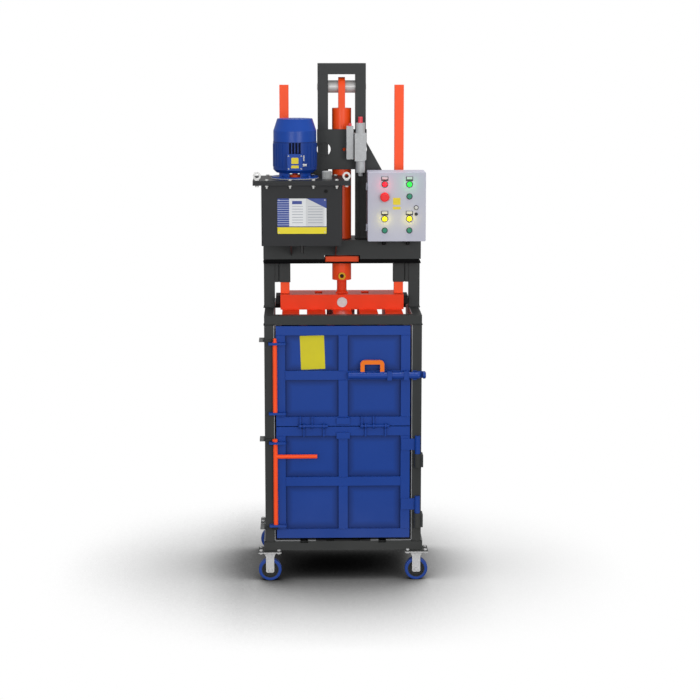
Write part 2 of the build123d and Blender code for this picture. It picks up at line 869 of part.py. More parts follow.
with BuildPart() as guide_bars:
    for side in (-1, 1):
        upright(side * guide_bar_x, 0, platen_top, guide_bar_size, guide_bar_size, guide_bar_top - platen_top)
    with BuildSketch(Plane.XY.offset(guide_bar_top)):
        with Locations((-guide_bar_x, 0), (guide_bar_x, 0)):
            Rectangle(guide_bar_size - 2 * tube_wall, guide_bar_size - 2 * tube_wall)
    extrude(amount=-tube_wall)
write(guide_bars.part, "guide_bars")

pad_z = channel_top - pad_height

with BuildPart() as guide_pads:
    for side in (-1, 1):
        x0 = min(side * platen_half_width, side * (platen_half_width + pad_thickness))
        block(x0, x0 + pad_thickness, -pad_depth / 2, pad_depth / 2, pad_z, channel_top)
    fillet(guide_pads.edges().filter_by(Axis.X), 5)
write(guide_pads.part, "guide_pads")

# Oil tank: a welded box with an outward rim, closed by a bolted cover that carries the motor.

rim_width = tank_width + 2 * tank_lip
rim_depth = tank_depth + 2 * tank_lip
tank_plane = Plane((tank_centre_x, tank_centre_y, tank_bottom))
bolt_row_y = tank_depth / 2 + tank_lip / 2
cover_bolt_pitch = (tank_width + tank_lip - 2 * ring_to_bolt) / 3
bolt_spots = [
    (tank_centre_x + (place - 1.5) * cover_bolt_pitch, tank_centre_y + row * bolt_row_y)
    for place in range(4)
    for row in (-1, 1)
]
ring_spots = [
    (tank_centre_x - (tank_width + tank_lip) / 2, tank_centre_y - bolt_row_y),
    (tank_centre_x + (tank_width + tank_lip) / 2, tank_centre_y - bolt_row_y),
]

with BuildPart() as oil_tank:
    with BuildSketch(tank_plane):
        RectangleRounded(tank_width, tank_depth, 6)
    extrude(amount=tank_height)
    with BuildSketch(tank_plane.offset(tank_wall)):
        RectangleRounded(tank_width - 2 * tank_wall, tank_depth - 2 * tank_wall, 2)
    extrude(amount=tank_height, mode=Mode.SUBTRACT)

with BuildPart() as tank_frame:
    with BuildSketch(tank_plane.offset(tank_height)):
        Rectangle(rim_width, rim_depth)
        RectangleRounded(tank_width - 2 * tank_wall, tank_depth - 2 * tank_wall, 2, mode=Mode.SUBTRACT)
    extrude(amount=tank_rim)
    with BuildSketch(Plane.XY.offset(rim_bottom)):
        with Locations(*bolt_spots, *ring_spots):
            Circle(cover_bolt_radius)
    extrude(amount=tank_rim, mode=Mode.SUBTRACT)
write(welded(oil_tank, tank_frame), "oil_tank")

with BuildPart() as tank_cover:
    with BuildSketch(tank_plane.offset(tank_height + tank_rim)):
        Rectangle(rim_width, rim_depth)
    extrude(amount=cover_thickness)
    with BuildSketch(Plane.XY.offset(cover_bottom)):
        with Locations(*bolt_spots, *ring_spots):
            Circle(cover_bolt_radius)
        with Locations((motor_x, motor_y)):
            Circle(coupling_radius + 2)
    extrude(amount=cover_thickness, mode=Mode.SUBTRACT)
    disc(Plane((cap_x, cap_y, cover_top)), neck_radius, filler_neck_height)
    disc(Plane((cap_x, cap_y, cover_bottom)), neck_radius - tank_wall,
         cover_thickness + filler_neck_height, Mode.SUBTRACT)
write(tank_cover.part, "tank_cover")

with BuildPart() as tank_fasteners:
    for x, y in bolt_spots:
        disc(Plane((x, y, rim_bottom)), cover_bolt_radius, tank_rim + cover_thickness)
        hexagon(Plane((x, y, cover_top)), cover_bolt_head, bolt_head_height)
        hexagon(Plane((x, y, rim_bottom - cover_nut_height)), cover_bolt_head, cover_nut_height)
        disc(Plane((x, y, rim_bottom - 2 * cover_nut_height)), cover_bolt_radius, cover_nut_height)
    drain_foot = tank_bottom - drain_collar - drain_plug
    drain_y = tank_front + 3 * drain_radius
    hexagon(Plane((tank_centre_x, drain_y, tank_bottom - drain_collar)), drain_radius, drain_collar)
    hexagon(Plane((tank_centre_x, drain_y, drain_foot)), drain_radius - 2, drain_plug)
write(tank_fasteners.part, "tank_fasteners")

with BuildPart() as lifting_rings:
    for x, y in ring_spots:
        centre_z = cover_top + ring_stem + ring_radius
        with BuildSketch(facing_front(x, y + ring_thickness / 2, 0)):
            with Locations((0, centre_z)):
                Circle(ring_radius)
            with Locations((0, cover_top + ring_stem)):
                Rectangle(ring_radius, 2 * ring_stem)
            with Locations((0, centre_z)):
                Circle(ring_bore, mode=Mode.SUBTRACT)
        extrude(amount=ring_thickness)
        disc(Plane((x, y, rim_bottom)), cover_bolt_radius, tank_rim + cover_thickness)
        hexagon(Plane((x, y, rim_bottom - cover_nut_height)), cover_bolt_head, cover_nut_height)
write(lifting_rings.part, "lifting_rings")

flutes = 20
flute_radius = 1.6
cap_bottom = cover_top + loose_fit

with BuildPart() as filler_cap:
    disc(Plane((cap_x, cap_y, cap_bottom)), cap_radius, cap_height)
    chamfer(filler_cap.edges().group_by(Axis.Z)[-1], 2)
    disc(Plane((cap_x, cap_y, cap_bottom)), neck_radius + running_fit, filler_neck_height, Mode.SUBTRACT)
    with BuildSketch(Plane((cap_x, cap_y, cap_bottom))):
        with PolarLocations(cap_radius, flutes):
            Circle(flute_radius)
    extrude(amount=cap_height, mode=Mode.SUBTRACT)
write(filler_cap.part, "filler_cap")

# Motor: lantern on the cover, body, terminal box and fan cowl; the rotor turns inside them.

motor_axis = Axis((motor_x, motor_y, 0), (0, 0, 1))
lantern_bottom = cover_top + motor_flange_height
lantern_top = lantern_bottom + lantern_height
body_bottom = lantern_top + motor_taper
body_top = body_bottom + motor_body_height
cowl_band_top = body_top + cowl_band_height
cowl_top = cowl_band_top + cowl_cone_height
lantern_windows = 4
window_width = 60
flange_bolts = 4
flange_bolt_circle = 86

with BuildPart() as motor_lantern:
    with BuildSketch(Plane((motor_x, motor_y, cover_top))):
        Circle(motor_flange_radius)
        Circle(lantern_radius - lantern_wall, mode=Mode.SUBTRACT)
    extrude(amount=motor_flange_height)
    with BuildSketch(Plane((motor_x, motor_y, lantern_bottom))):
        Circle(lantern_radius)
        Circle(lantern_radius - lantern_wall, mode=Mode.SUBTRACT)
        with PolarLocations(lantern_radius, lantern_windows, start_angle=-90):
            Rectangle(3 * lantern_wall, window_width, mode=Mode.SUBTRACT)
    extrude(amount=lantern_height)
    with BuildSketch(Plane((motor_x, motor_y, lantern_bottom))):
        with PolarLocations(flange_bolt_circle, flange_bolts, start_angle=45):
            RegularPolygon(bolt_head_radius, 6)
    extrude(amount=bolt_head_height)
write(motor_lantern.part, "motor_lantern")

with BuildPart() as motor_body:
    with BuildSketch(Plane((motor_x, motor_y, 0), x_dir=(1, 0, 0), z_dir=(0, -1, 0))):
        Polygon(
            (shaft_radius + running_fit, lantern_top),
            (lantern_radius + 6, lantern_top),
            (motor_radius, body_bottom),
            (motor_radius, body_top),
            (shaft_radius + running_fit, body_top),
            align=None,
        )
    revolve(axis=motor_axis)
write(motor_body.part, "motor_body")

with BuildPart() as motor_cowl:
    with BuildSketch(Plane((motor_x, motor_y, 0), x_dir=(1, 0, 0), z_dir=(0, -1, 0))):
        Polygon(
            (0, body_top),
            (motor_radius - 1, body_top),
            (motor_radius - 1, cowl_band_top),
            (cowl_top_radius, cowl_top),
            (0, cowl_top),
            align=None,
        )
        Polygon(
            (0, body_top),
            (motor_radius - 1 - cowl_sheet, body_top),
            (motor_radius - 1 - cowl_sheet, cowl_band_top),
            (cowl_top_radius - cowl_sheet, cowl_top - cowl_sheet),
            (0, cowl_top - cowl_sheet),
            align=None,
            mode=Mode.SUBTRACT,
        )
    revolve(axis=motor_axis)
    with BuildSketch(Plane((motor_x, motor_y, cowl_top - cowl_sheet))):
        for ring_at, count in ((24, 8), (40, 12), (56, 16)):
            with PolarLocations(ring_at, count):
                Rectangle(9, 5)
    extrude(amount=cowl_sheet, mode=Mode.SUBTRACT)
write(motor_cowl.part, "motor_cowl")

terminal_bottom = body_bottom
terminal_back = motor_y - motor_radius

with BuildPart() as terminal_box:
    with BuildSketch(Plane((motor_x, terminal_back - terminal_proud / 2 + 8, terminal_bottom))):
        RectangleRounded(terminal_width, terminal_proud + 16, 3)
    extrude(amount=terminal_height)
    disc(Plane((motor_x, motor_y, terminal_bottom)), motor_radius, terminal_height, Mode.SUBTRACT)
    gland_plane = facing_right(motor_x + terminal_width / 2, terminal_back - terminal_proud / 2,
                               terminal_bottom + terminal_height / 3)
    hexagon(gland_plane, terminal_gland, 8)
    disc(gland_plane.offset(8), terminal_gland - 1.5, 9)
write(terminal_box.part, "terminal_box")

fan_bottom = cowl_top - cowl_sheet - fan_height - 14
coupling_bottom = cover_bottom
coupling_length = 24

with BuildPart() as motor_rotor:
    disc(Plane((motor_x, motor_y, coupling_bottom)), coupling_radius, coupling_length)
    disc(Plane((motor_x, motor_y, coupling_bottom)), shaft_radius, fan_bottom + fan_height - coupling_bottom)
    disc(Plane((motor_x, motor_y, fan_bottom)), fan_radius, fan_sheet)
    with BuildSketch(Plane((motor_x, motor_y, fan_bottom + fan_sheet))):
        with PolarLocations((shaft_radius + fan_radius) / 2, fan_blades):
            Rectangle(fan_radius - shaft_radius - fan_margin, fan_sheet)
    extrude(amount=fan_height - fan_sheet)
write(motor_rotor.part, "motor_rotor")

# Valve block on the gusset plate: a body between two coils, with a relief valve beside it.

valve_base_y = gusset_front - valve_back
valve_mid_y = valve_base_y - valve_depth / 2
valve_top = valve_body_bottom + valve_body_height

with BuildPart() as valve_body:
    block(relief_x - relief_width / 2, valve_x + valve_body_width / 2, valve_base_y, gusset_front,
          relief_bottom, valve_top)
    block(valve_x - valve_body_width / 2, valve_x + valve_body_width / 2, valve_base_y - valve_depth,
          valve_base_y, valve_body_bottom, valve_top)
    chamfer(valve_body.edges().filter_by(Axis.Y).group_by(Axis.Y)[0].group_by(Axis.X)[-1], 8)
    disc(Plane((valve_x, valve_mid_y, valve_top)), coil_radius, upper_coil_height)
    disc(Plane((valve_x, valve_mid_y, valve_body_bottom - lower_coil_height)), coil_radius, lower_coil_height)
    disc(Plane((valve_x, valve_mid_y, valve_body_bottom - lower_coil_height - lower_cap_length)),
         valve_cap_radius, lower_cap_length)
    block(relief_x - relief_width / 2, relief_x + relief_width / 2, valve_base_y - relief_width, valve_base_y,
          relief_bottom, relief_bottom + relief_height)
write(valve_body.part, "valve_body")

with BuildPart() as valve_caps:
    disc(Plane((valve_x, valve_mid_y, valve_top + upper_coil_height)), valve_cap_radius, valve_cap_height)
    disc(Plane((relief_x, valve_base_y - relief_width / 2, relief_bottom + relief_height)),
         relief_cap_radius, relief_cap_height)
    fillet(valve_caps.faces().filter_by(Axis.Z).group_by(Axis.Z)[-1].edges(), 3)
write(valve_caps.part, "valve_caps")

# Control box: a folded body with a hinged door that carries the lamps, buttons and the lock.

box_centre_x = box_left + box_width / 2
box_centre_z = box_bottom + box_height / 2
box_hinge_radius = 4
box_hinge_pin = 2
box_hinge_x = box_left - box_hinge_radius
box_hinge_y = box_front - box_door_gap - box_door_depth / 2
box_hinge_z = (box_bottom + box_hinge_low, box_bottom + box_height - box_hinge_high)
box_hinge_length = 30
box_knuckle = (box_hinge_length - hinge_gap) / 2
gland_spots = (lamp_left_x, lamp_right_x - 2)
gland_y = (box_front + box_back) / 2

with BuildPart() as cabinet_body:
    with BuildSketch(facing_front(box_centre_x, box_back, box_centre_z)):
        RectangleRounded(box_width, box_height, 4)
    extrude(amount=box_depth)
    with BuildSketch(facing_front(box_centre_x, box_back - box_sheet, box_centre_z)):
        RectangleRounded(box_width - 2 * box_sheet, box_height - 2 * box_sheet, 2)
    extrude(amount=box_depth, mode=Mode.SUBTRACT)
    with BuildSketch(Plane.XY.offset(box_bottom)):
        with Locations(*[(x, gland_y) for x in gland_spots]):
            Circle(gland_radius - 3)
    extrude(amount=box_sheet, mode=Mode.SUBTRACT)
    for foot in box_hinge_z:
        hinge_foot = Plane((box_hinge_x, box_hinge_y, foot))
        disc(hinge_foot, box_hinge_radius, box_knuckle)
        disc(hinge_foot, box_hinge_pin, box_hinge_length)
        block(box_hinge_x - box_hinge_radius, box_left, box_hinge_y, box_front + 3 * box_hinge_radius,
              foot, foot + box_knuckle)
write(cabinet_body.part, "cabinet_body")

with BuildPart() as cabinet_glands:
    for x in gland_spots:
        hexagon(Plane((x, gland_y, box_bottom - 6)), gland_radius, 6)
        disc(Plane((x, gland_y, box_bottom - 6)), gland_radius - 3, 6 + box_sheet + 3)
        disc(Plane((x, gland_y, box_bottom - 24)), gland_radius - 2, 18)
        hexagon(Plane((x, gland_y, box_bottom + box_sheet)), gland_radius, 4)
    chamfer(cabinet_glands.edges().group_by(Axis.Z)[0], 3)
write(cabinet_glands.part, "cabinet_glands")

lamp_spots = (
    (lamp_left_x, lamp_top_z),
    (lamp_right_x, lamp_top_z),
    (lamp_left_x, lamp_low_z),
    (lamp_right_x, lamp_low_z),
)
button_spots = (
    (lamp_right_x, button_top_z),
    (lamp_left_x, button_low_z),
    (lamp_right_x, button_low_z),
)
box_lock_radius = 7
box_front_plane = facing_front(0, box_face, 0)
door_width = box_width - 2 * box_door_gap

with BuildPart() as cabinet_door:
    with BuildSketch(facing_front(box_centre_x, box_face + box_door_depth, box_centre_z)):
        RectangleRounded(door_width, box_height, 4)
    extrude(amount=box_door_depth)
    fillet(cabinet_door.faces().sort_by(Axis.Y)[0].edges(), 1.5)
    with BuildSketch(facing_front(box_centre_x, box_face + box_door_depth, box_centre_z)):
        RectangleRounded(door_width - 2 * box_door_sheet, box_height - 2 * box_door_sheet, 2)
    extrude(amount=box_door_depth - box_door_sheet, mode=Mode.SUBTRACT)
    with BuildSketch(box_front_plane):
        with Locations(*lamp_spots):
            Circle(lamp_radius)
        with Locations(*button_spots):
            Circle(button_radius + running_fit)
        with Locations((lamp_left_x, stop_z)):
            Circle(stop_stem_radius + running_fit)
        with Locations((box_lock_x, box_lock_z)):
            Circle(box_lock_radius + running_fit)
    extrude(amount=-box_door_sheet, mode=Mode.SUBTRACT)
    for foot in box_hinge_z:
        with BuildSketch(Plane((box_hinge_x, box_hinge_y, foot + box_knuckle + hinge_gap))):
            Circle(box_hinge_radius)
            with Locations(((box_hinge_radius + box_door_gap) / 2 + 1, -box_hinge_radius / 2 - 1)):
                Rectangle(box_hinge_radius + box_door_gap + 2, box_hinge_radius - 2)
            Circle(box_hinge_pin + running_fit, mode=Mode.SUBTRACT)
        extrude(amount=box_knuckle)
write(cabinet_door.part, "cabinet_door")

with BuildPart() as cabinet_fittings:
    with BuildSketch(box_front_plane):
        with Locations(*lamp_spots):
            Circle(lamp_radius + lamp_bezel)
            Circle(lamp_radius, mode=Mode.SUBTRACT)
        with Locations(*button_spots):
            Circle(button_radius + button_ring)
            Circle(button_radius + running_fit, mode=Mode.SUBTRACT)
        with Locations((lamp_left_x, stop_z)):
            Circle(stop_stem_radius + 5)
            Circle(stop_stem_radius + running_fit, mode=Mode.SUBTRACT)
        with Locations((box_lock_x, box_lock_z)):
            Circle(box_lock_radius + 3)
            Circle(box_lock_radius + running_fit, mode=Mode.SUBTRACT)
        with Locations((box_lock_x, box_lock_z - 4 * box_lock_radius)):
            Circle(box_lock_radius)
    extrude(amount=lamp_bezel)
    with BuildSketch(box_front_plane):
        with Locations(*[(x, z + holder_offset) for x, z in lamp_spots]):
            RectangleRounded(holder_width, holder_height, 2)
    extrude(amount=holder_thickness)
write(cabinet_fittings.part, "cabinet_fittings")

with BuildPart() as lamp_lenses:
    with BuildSketch(box_front_plane.offset(-box_door_sheet)):
        with Locations(*lamp_spots):
            Circle(lamp_radius)
    extrude(amount=box_door_sheet + lamp_proud)
    fillet(lamp_lenses.faces().sort_by(Axis.Y)[0:4].edges(), 5)
write(lamp_lenses.part, "lamp_lenses")

stop_gap = lamp_bezel + stop_travel + loose_fit

with BuildPart() as stop_button:
    disc(facing_front(lamp_left_x, box_face + 2 * box_door_sheet, stop_z), stop_stem_radius,
         2 * box_door_sheet + stop_gap)
    disc(facing_front(lamp_left_x, box_face - stop_gap, stop_z), stop_radius, 13)
    fillet(stop_button.faces().sort_by(Axis.Y)[0].edges(), 6)
write(stop_button.part, "stop_button")

for number, (x, z) in enumerate(button_spots, 1):
    with BuildPart() as push_button:
        disc(facing_front(x, box_face + 2 * box_door_sheet, z), button_radius,
             2 * box_door_sheet + lamp_bezel + button_travel)
        fillet(push_button.faces().sort_by(Axis.Y)[0].edges(), 1.5)
    write(push_button.part, "push_button_" + str(number))

with BuildPart() as cabinet_lock:
    disc(facing_front(box_lock_x, box_face + box_door_sheet + 2, box_lock_z), box_lock_radius,
         box_door_sheet + 2 + lamp_bezel + 1)
    with BuildSketch(facing_front(box_lock_x, box_face - lamp_bezel - 1, box_lock_z)):
        Rectangle(box_lock_radius, 2)
    extrude(amount=-2, mode=Mode.SUBTRACT)
write(cabinet_lock.part, "cabinet_lock")

# Doors: tube frames with a mid rail and a centre stile, and sheets set back in their windows.

door_centre_y = door_front + tube_size / 2
stile_x = door_half_width - tube_size / 2
window_half = door_half_width - tube_size
panel_front = door_front + door_recess


def door_frame(bottom, height, mid_z):
    """Weld one door frame from its three rails and its four stiles."""
    top = bottom + height
    with BuildPart() as rails:
        for z in (bottom, top - tube_size):
            lengthwise(door_centre_y, z + tube_size / 2, door_half_width)
        lengthwise(door_centre_y, mid_z + tube_size / 2, window_half)
    with BuildPart() as stiles:
        for side in (-1, 1):
            upright(side * stile_x, door_centre_y, bottom + tube_size, tube_size, tube_size,
                    height - 2 * tube_size)
        upright(0, door_centre_y, bottom + tube_size, tube_size, tube_size, mid_z - bottom - tube_size)
        upright(0, door_centre_y, mid_z + tube_size, tube_size, tube_size, top - mid_z - 2 * tube_size)
    return welded(rails, stiles)


def door_panels(bottom, height, mid_z):
    """Add the four recessed sheets of one door."""
    half_tube = tube_size / 2
    for low, high in ((bottom + tube_size, mid_z), (mid_z + tube_size, bottom + height - tube_size)):
        block(half_tube, window_half, panel_front, panel_front + sheet, low, high)
        block(-window_half, -half_tube, panel_front, panel_front + sheet, low, high)


def clip(z):
    """Add one blue plate that the lock rod runs in."""
    with BuildSketch(Plane.XY.offset(z)) as plate:
        with Locations(((clip_left + clip_right) / 2, (clip_front + door_front) / 2)):
            Rectangle(clip_right - clip_left, door_front - clip_front)
        fillet(plate.vertices().group_by(Axis.Y)[0], 6)
        with Locations((lock_x, lock_y)):
            Circle(lock_radius + lock_fit, mode=Mode.SUBTRACT)
    extrude(plate.sketch, amount=clip_thickness)


def stop_block(z):
    """Add the small block in the middle of the gap between the doors."""
    block(-stop_block_width / 2, stop_block_width / 2, door_front - stop_block_depth, door_front,
          z, z + stop_block_height)


def hinge_ear(x, low, high, bore):
    """Add one plate that stands forward from a door to the flap's hinge pin."""
    with BuildSketch(facing_right(x, 0, 0)) as ear:
        with Locations((hinge_y, flap_pin_z)):
            Circle(2 * flap_pin_radius)
        with Locations(((hinge_y + door_front) / 2, (low + high) / 2)):
            Rectangle(door_front - hinge_y, high - low)
        with Locations((hinge_y, flap_pin_z)):
            Circle(bore, mode=Mode.SUBTRACT)
    extrude(ear.sketch, amount=ear_thickness)


write(door_frame(door_bottom, lower_door_height, lower_mid_z), "lower_door_frame")

with BuildPart() as lower_door_panels:
    door_panels(door_bottom, lower_door_height, lower_mid_z)
write(lower_door_panels.part, "lower_door_panels")

lower_door_top = door_bottom + lower_door_height
ear_offset = 4
lug_offset = 20

with BuildPart() as lower_door_fittings:
    clip(lower_lock_top)
    clip(lower_lock_bottom - clip_thickness)
    stop_block(lower_door_top - tube_size - stop_block_height / 2 + 2)
    for foot, length in ((upper_hinge_z, upper_hinge_length), (lower_hinge_z, lower_hinge_length)):
        disc(Plane((hinge_x, hinge_y, foot)), door_knuckle_radius, length)
        block(leaf_left, hinge_x - hinge_pin_radius, door_front - hinge_leaf, door_front,
              foot + (length - leaf_height) / 2, foot + (length + leaf_height) / 2)
        disc(Plane((hinge_x, hinge_y, foot)), hinge_pin_radius + running_fit, length, Mode.SUBTRACT)
    for start in flap_pin_starts:
        disc(facing_right(start, hinge_y, flap_pin_z), flap_pin_radius, flap_pin_length)
        for x in (start + lug_offset, start + flap_pin_length - lug_offset):
            hinge_ear(x, lower_door_top - tube_size, lower_door_top, flap_pin_radius / 2)
write(lower_door_fittings.part, "lower_door_fittings")

frame_hinges = (
    (upper_hinge_z, upper_hinge_length, upper_hinge_foot),
    (lower_hinge_z, lower_hinge_length, lower_hinge_foot),
)
leaf_right = frame_half_width + side_leaf

with BuildPart() as hinge_knuckles:
    for foot, length, knuckle in frame_hinges:
        disc(Plane((hinge_x, hinge_y, foot - knuckle)), frame_knuckle_radius, knuckle - hinge_gap)
        block(hinge_x - frame_knuckle_radius / 2, hinge_x + frame_knuckle_radius / 2,
              hinge_y, -frame_half_depth, foot - knuckle, foot - hinge_gap)
        block(hinge_x, leaf_right, hinge_y, -frame_half_depth, foot - knuckle, foot - side_leaf)

with BuildPart() as hinge_leaves:
    for foot, length, knuckle in frame_hinges:
        block(frame_half_width, leaf_right, -frame_half_depth, side_leaf_depth - frame_half_depth,
              foot - knuckle, foot - side_leaf)

with BuildPart() as hinge_pins:
    for foot, length, knuckle in frame_hinges:
        disc(Plane((hinge_x, hinge_y, foot - hinge_gap)), hinge_pin_radius, length + hinge_gap)
write(welded(hinge_knuckles, hinge_leaves, hinge_pins), "door_hinges")

write(door_frame(flap_bottom, flap_height, flap_mid_z), "flap_frame")

with BuildPart() as flap_panels:
    door_panels(flap_bottom, flap_height, flap_mid_z)
write(flap_panels.part, "flap_panels")

guide_height = 2 * bolt_bar_radius + 8
guide_front = bolt_bar_y - bolt_bar_radius - 4

with BuildPart() as flap_fittings:
    clip(upper_lock_top)
    clip(upper_lock_bottom)
    stop_block(flap_bottom + stop_block_depth)
    for start in flap_pin_starts:
        for x in (start + ear_offset, start + ear_offset + ear_pitch):
            hinge_ear(x, flap_bottom + ear_offset, flap_bottom + tube_size + ear_offset,
                      flap_pin_radius + running_fit)
    for x in guide_block_x:
        block(x - guide_block / 2, x + guide_block / 2, guide_front, door_front,
              bolt_bar_z - guide_height / 2, bolt_bar_z + guide_height / 2)
    disc(facing_right(0, bolt_bar_y, bolt_bar_z), bolt_bar_radius + running_fit, bolt_bar_right, Mode.SUBTRACT)
write(flap_fittings.part, "flap_fittings")

# Lock rods, the bolt with its grip, and what they meet on the posts.

with BuildPart() as lock_rod_lower:
    disc(Plane((lock_x, lock_y, lower_lock_bottom - 2 * clip_thickness - keeper_gap)), lock_radius,
         lower_lock_top - lower_lock_bottom + 4 * clip_thickness + 2 * keeper_gap)
    disc(facing_right(lock_x, lock_y, lock_handle_z), lock_handle_radius, lock_handle_reach)
    for z in (lower_lock_top + clip_thickness + keeper_gap, lower_lock_bottom - 2 * clip_thickness - keeper_gap):
        block(lock_x - cam_reach, lock_x, lock_y - stub_radius / 2, lock_y + stub_radius / 2, z, z + cam_thickness)
    fillet(lock_rod_lower.faces().sort_by(Axis.X)[-1].edges(), 2)
write(lock_rod_lower.part, "lock_rod_lower")

with BuildPart() as lock_rod_upper:
    disc(Plane((lock_x, lock_y, upper_lock_bottom)), lock_radius,
         upper_lock_top - upper_lock_bottom + clip_thickness + keeper_gap)
    disc(Plane((lock_x, lock_y, upper_lock_top)), stub_radius, clip_thickness + keeper_gap + stub_length)
    chamfer(lock_rod_upper.faces().sort_by(Axis.Z)[-1].edges(), 2)
write(lock_rod_upper.part, "lock_rod_upper")

keeper_levels = (
    upper_lock_top + clip_thickness + keeper_gap,
    lower_lock_top + clip_thickness + keeper_gap,
    lower_lock_bottom - 2 * clip_thickness - keeper_gap,
)
keeper_bar = 8
cam_gap = 2.5

with BuildPart() as lock_keepers:
    for level in keeper_levels:
        with BuildSketch(Plane.XY.offset(level)):
            with Locations((-frame_half_width - keeper_reach / 2, lock_y + keeper_depth / 2)):
                Rectangle(keeper_reach, keeper_depth)
            with Locations(((lock_x - cam_reach - cam_gap - frame_half_width - keeper_reach) / 2,
                            -frame_half_depth - keeper_bar / 2)):
                Rectangle(frame_half_width + keeper_reach + lock_x - cam_reach - cam_gap, keeper_bar)
        extrude(amount=keeper_thickness)
write(lock_keepers.part, "lock_keepers")

with BuildPart() as flap_bolt:
    disc(facing_right(bolt_bar_left, bolt_bar_y, bolt_bar_z), bolt_bar_radius, bolt_bar_right - bolt_bar_left)
    fillet(flap_bolt.faces().sort_by(Axis.X)[0].edges(), 4)
    fillet(flap_bolt.faces().sort_by(Axis.X)[-1].edges(), bolt_nose)
    with BuildSketch(facing_front(0, bolt_bar_y + grip_bar / 2, 0)) as grip:
        with Locations((grip_left + grip_width / 2, (bolt_bar_z + grip_top) / 2)):
            Rectangle(grip_width, grip_top - bolt_bar_z)
        fillet(grip.vertices().group_by(Axis.Y)[-1], grip_bar)
        with Locations((grip_left + grip_width / 2, (bolt_bar_z + grip_top) / 2 - grip_bar / 2)):
            Rectangle(grip_width - 2 * grip_bar, grip_top - bolt_bar_z - grip_bar, mode=Mode.SUBTRACT)
    extrude(amount=grip_bar)
write(flap_bolt.part, "flap_bolt")

cradle_radius = bolt_bar_radius + receiver_clearance
cradle_start = post_inner_x + loose_fit
cradle_length = hinge_x - cradle_start - bolt_nose / 2
cradle_outer = cradle_radius + receiver_wall
seat_y = -frame_half_depth - bolt_bar_y

with BuildPart() as bolt_receiver:
    with BuildSketch(facing_right(cradle_start, bolt_bar_y, bolt_bar_z)):
        with Locations((seat_y / 2, 0)):
            Rectangle(seat_y, 2 * cradle_outer)
        Circle(cradle_outer, mode=Mode.INTERSECT)
        Circle(cradle_radius, mode=Mode.SUBTRACT)
    extrude(amount=cradle_length)
    with BuildSketch(facing_right(cradle_start, bolt_bar_y, bolt_bar_z)):
        with Locations((seat_y - receiver_plate / 2, 0)):
            Rectangle(receiver_plate, 2 * bolt_bar_radius)
    extrude(amount=receiver_end - cradle_start)
    with BuildSketch(facing_right(receiver_end - receiver_block, bolt_bar_y, bolt_bar_z)):
        Circle(bolt_bar_radius)
        with Locations((seat_y / 2, 0)):
            Rectangle(seat_y, 2 * bolt_bar_radius)
    extrude(amount=receiver_block)
    fillet(bolt_receiver.faces().sort_by(Axis.X)[-1].edges().filter_by(GeomType.CIRCLE), 6)
write(bolt_receiver.part, "bolt_receiver")
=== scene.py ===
import json
import math

import bmesh
import bpy
from mathutils import Matrix, Vector

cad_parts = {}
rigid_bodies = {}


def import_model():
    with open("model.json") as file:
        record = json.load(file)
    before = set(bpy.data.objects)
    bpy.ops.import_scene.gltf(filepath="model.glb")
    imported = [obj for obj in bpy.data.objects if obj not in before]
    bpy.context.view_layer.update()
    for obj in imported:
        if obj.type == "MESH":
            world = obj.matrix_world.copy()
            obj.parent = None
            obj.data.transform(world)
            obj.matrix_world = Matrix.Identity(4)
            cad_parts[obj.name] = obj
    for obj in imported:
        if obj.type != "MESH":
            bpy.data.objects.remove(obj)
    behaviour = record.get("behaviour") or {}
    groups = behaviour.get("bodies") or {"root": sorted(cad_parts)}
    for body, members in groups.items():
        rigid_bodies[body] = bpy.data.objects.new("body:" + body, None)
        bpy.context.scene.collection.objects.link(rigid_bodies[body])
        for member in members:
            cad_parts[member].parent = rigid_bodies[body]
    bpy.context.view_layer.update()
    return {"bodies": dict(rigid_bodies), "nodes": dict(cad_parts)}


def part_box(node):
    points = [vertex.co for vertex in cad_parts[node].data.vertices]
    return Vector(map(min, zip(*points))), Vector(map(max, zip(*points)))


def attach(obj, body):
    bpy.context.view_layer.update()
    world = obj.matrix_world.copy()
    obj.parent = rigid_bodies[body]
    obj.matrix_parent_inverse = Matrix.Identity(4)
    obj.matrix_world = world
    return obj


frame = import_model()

nodes = frame["nodes"]

# Camera: a long lens at head height, far in front of the baler and a little to its left, as in the
# photograph, so the machine stands upright with only a slight view onto its upper faces.

scene = bpy.context.scene
scene.view_settings.view_transform = "Standard"

camera_data = bpy.data.cameras.new("camera")
camera_data.sensor_width = 36
camera_data.lens = 97.71
camera_data.clip_end = 60
camera = bpy.data.objects.new("camera", camera_data)
camera.location = (-0.1745, -8.32125, 2.394)
camera.rotation_euler = (math.radians(80.4), 0, math.radians(-1.487))
scene.collection.objects.link(camera)
scene.camera = camera

# Studio: a white room with two large soft lamps in front, the right one a little stronger, and one
# overhead. They light a colour about as bright as it is written. The floor's shade is painted: the camera
# sees an emission darkened by ambient occlusion round the machine, deeper on the left than on the right.


def lamp(name, place, aim, size, power):
    """Hang one square soft lamp and turn it towards a point."""
    data = bpy.data.lights.new(name, "AREA")
    data.size = size
    data.energy = power
    holder = bpy.data.objects.new(name, data)
    holder.location = place
    holder.rotation_euler = (Vector(aim) - Vector(place)).to_track_quat("-Z", "Y").to_euler()
    scene.collection.objects.link(holder)


lamp("soft_left", (-2.2, -6.8, 2.2), aim=(0, 0, 1.5), size=2.8, power=90)
lamp("soft_right", (2.6, -6.6, 2.4), aim=(0, 0, 1.5), size=2.8, power=115)
lamp("soft_above", (0.4, 0.6, 5.6), aim=(0, 0, 0.4), size=3.0, power=110)


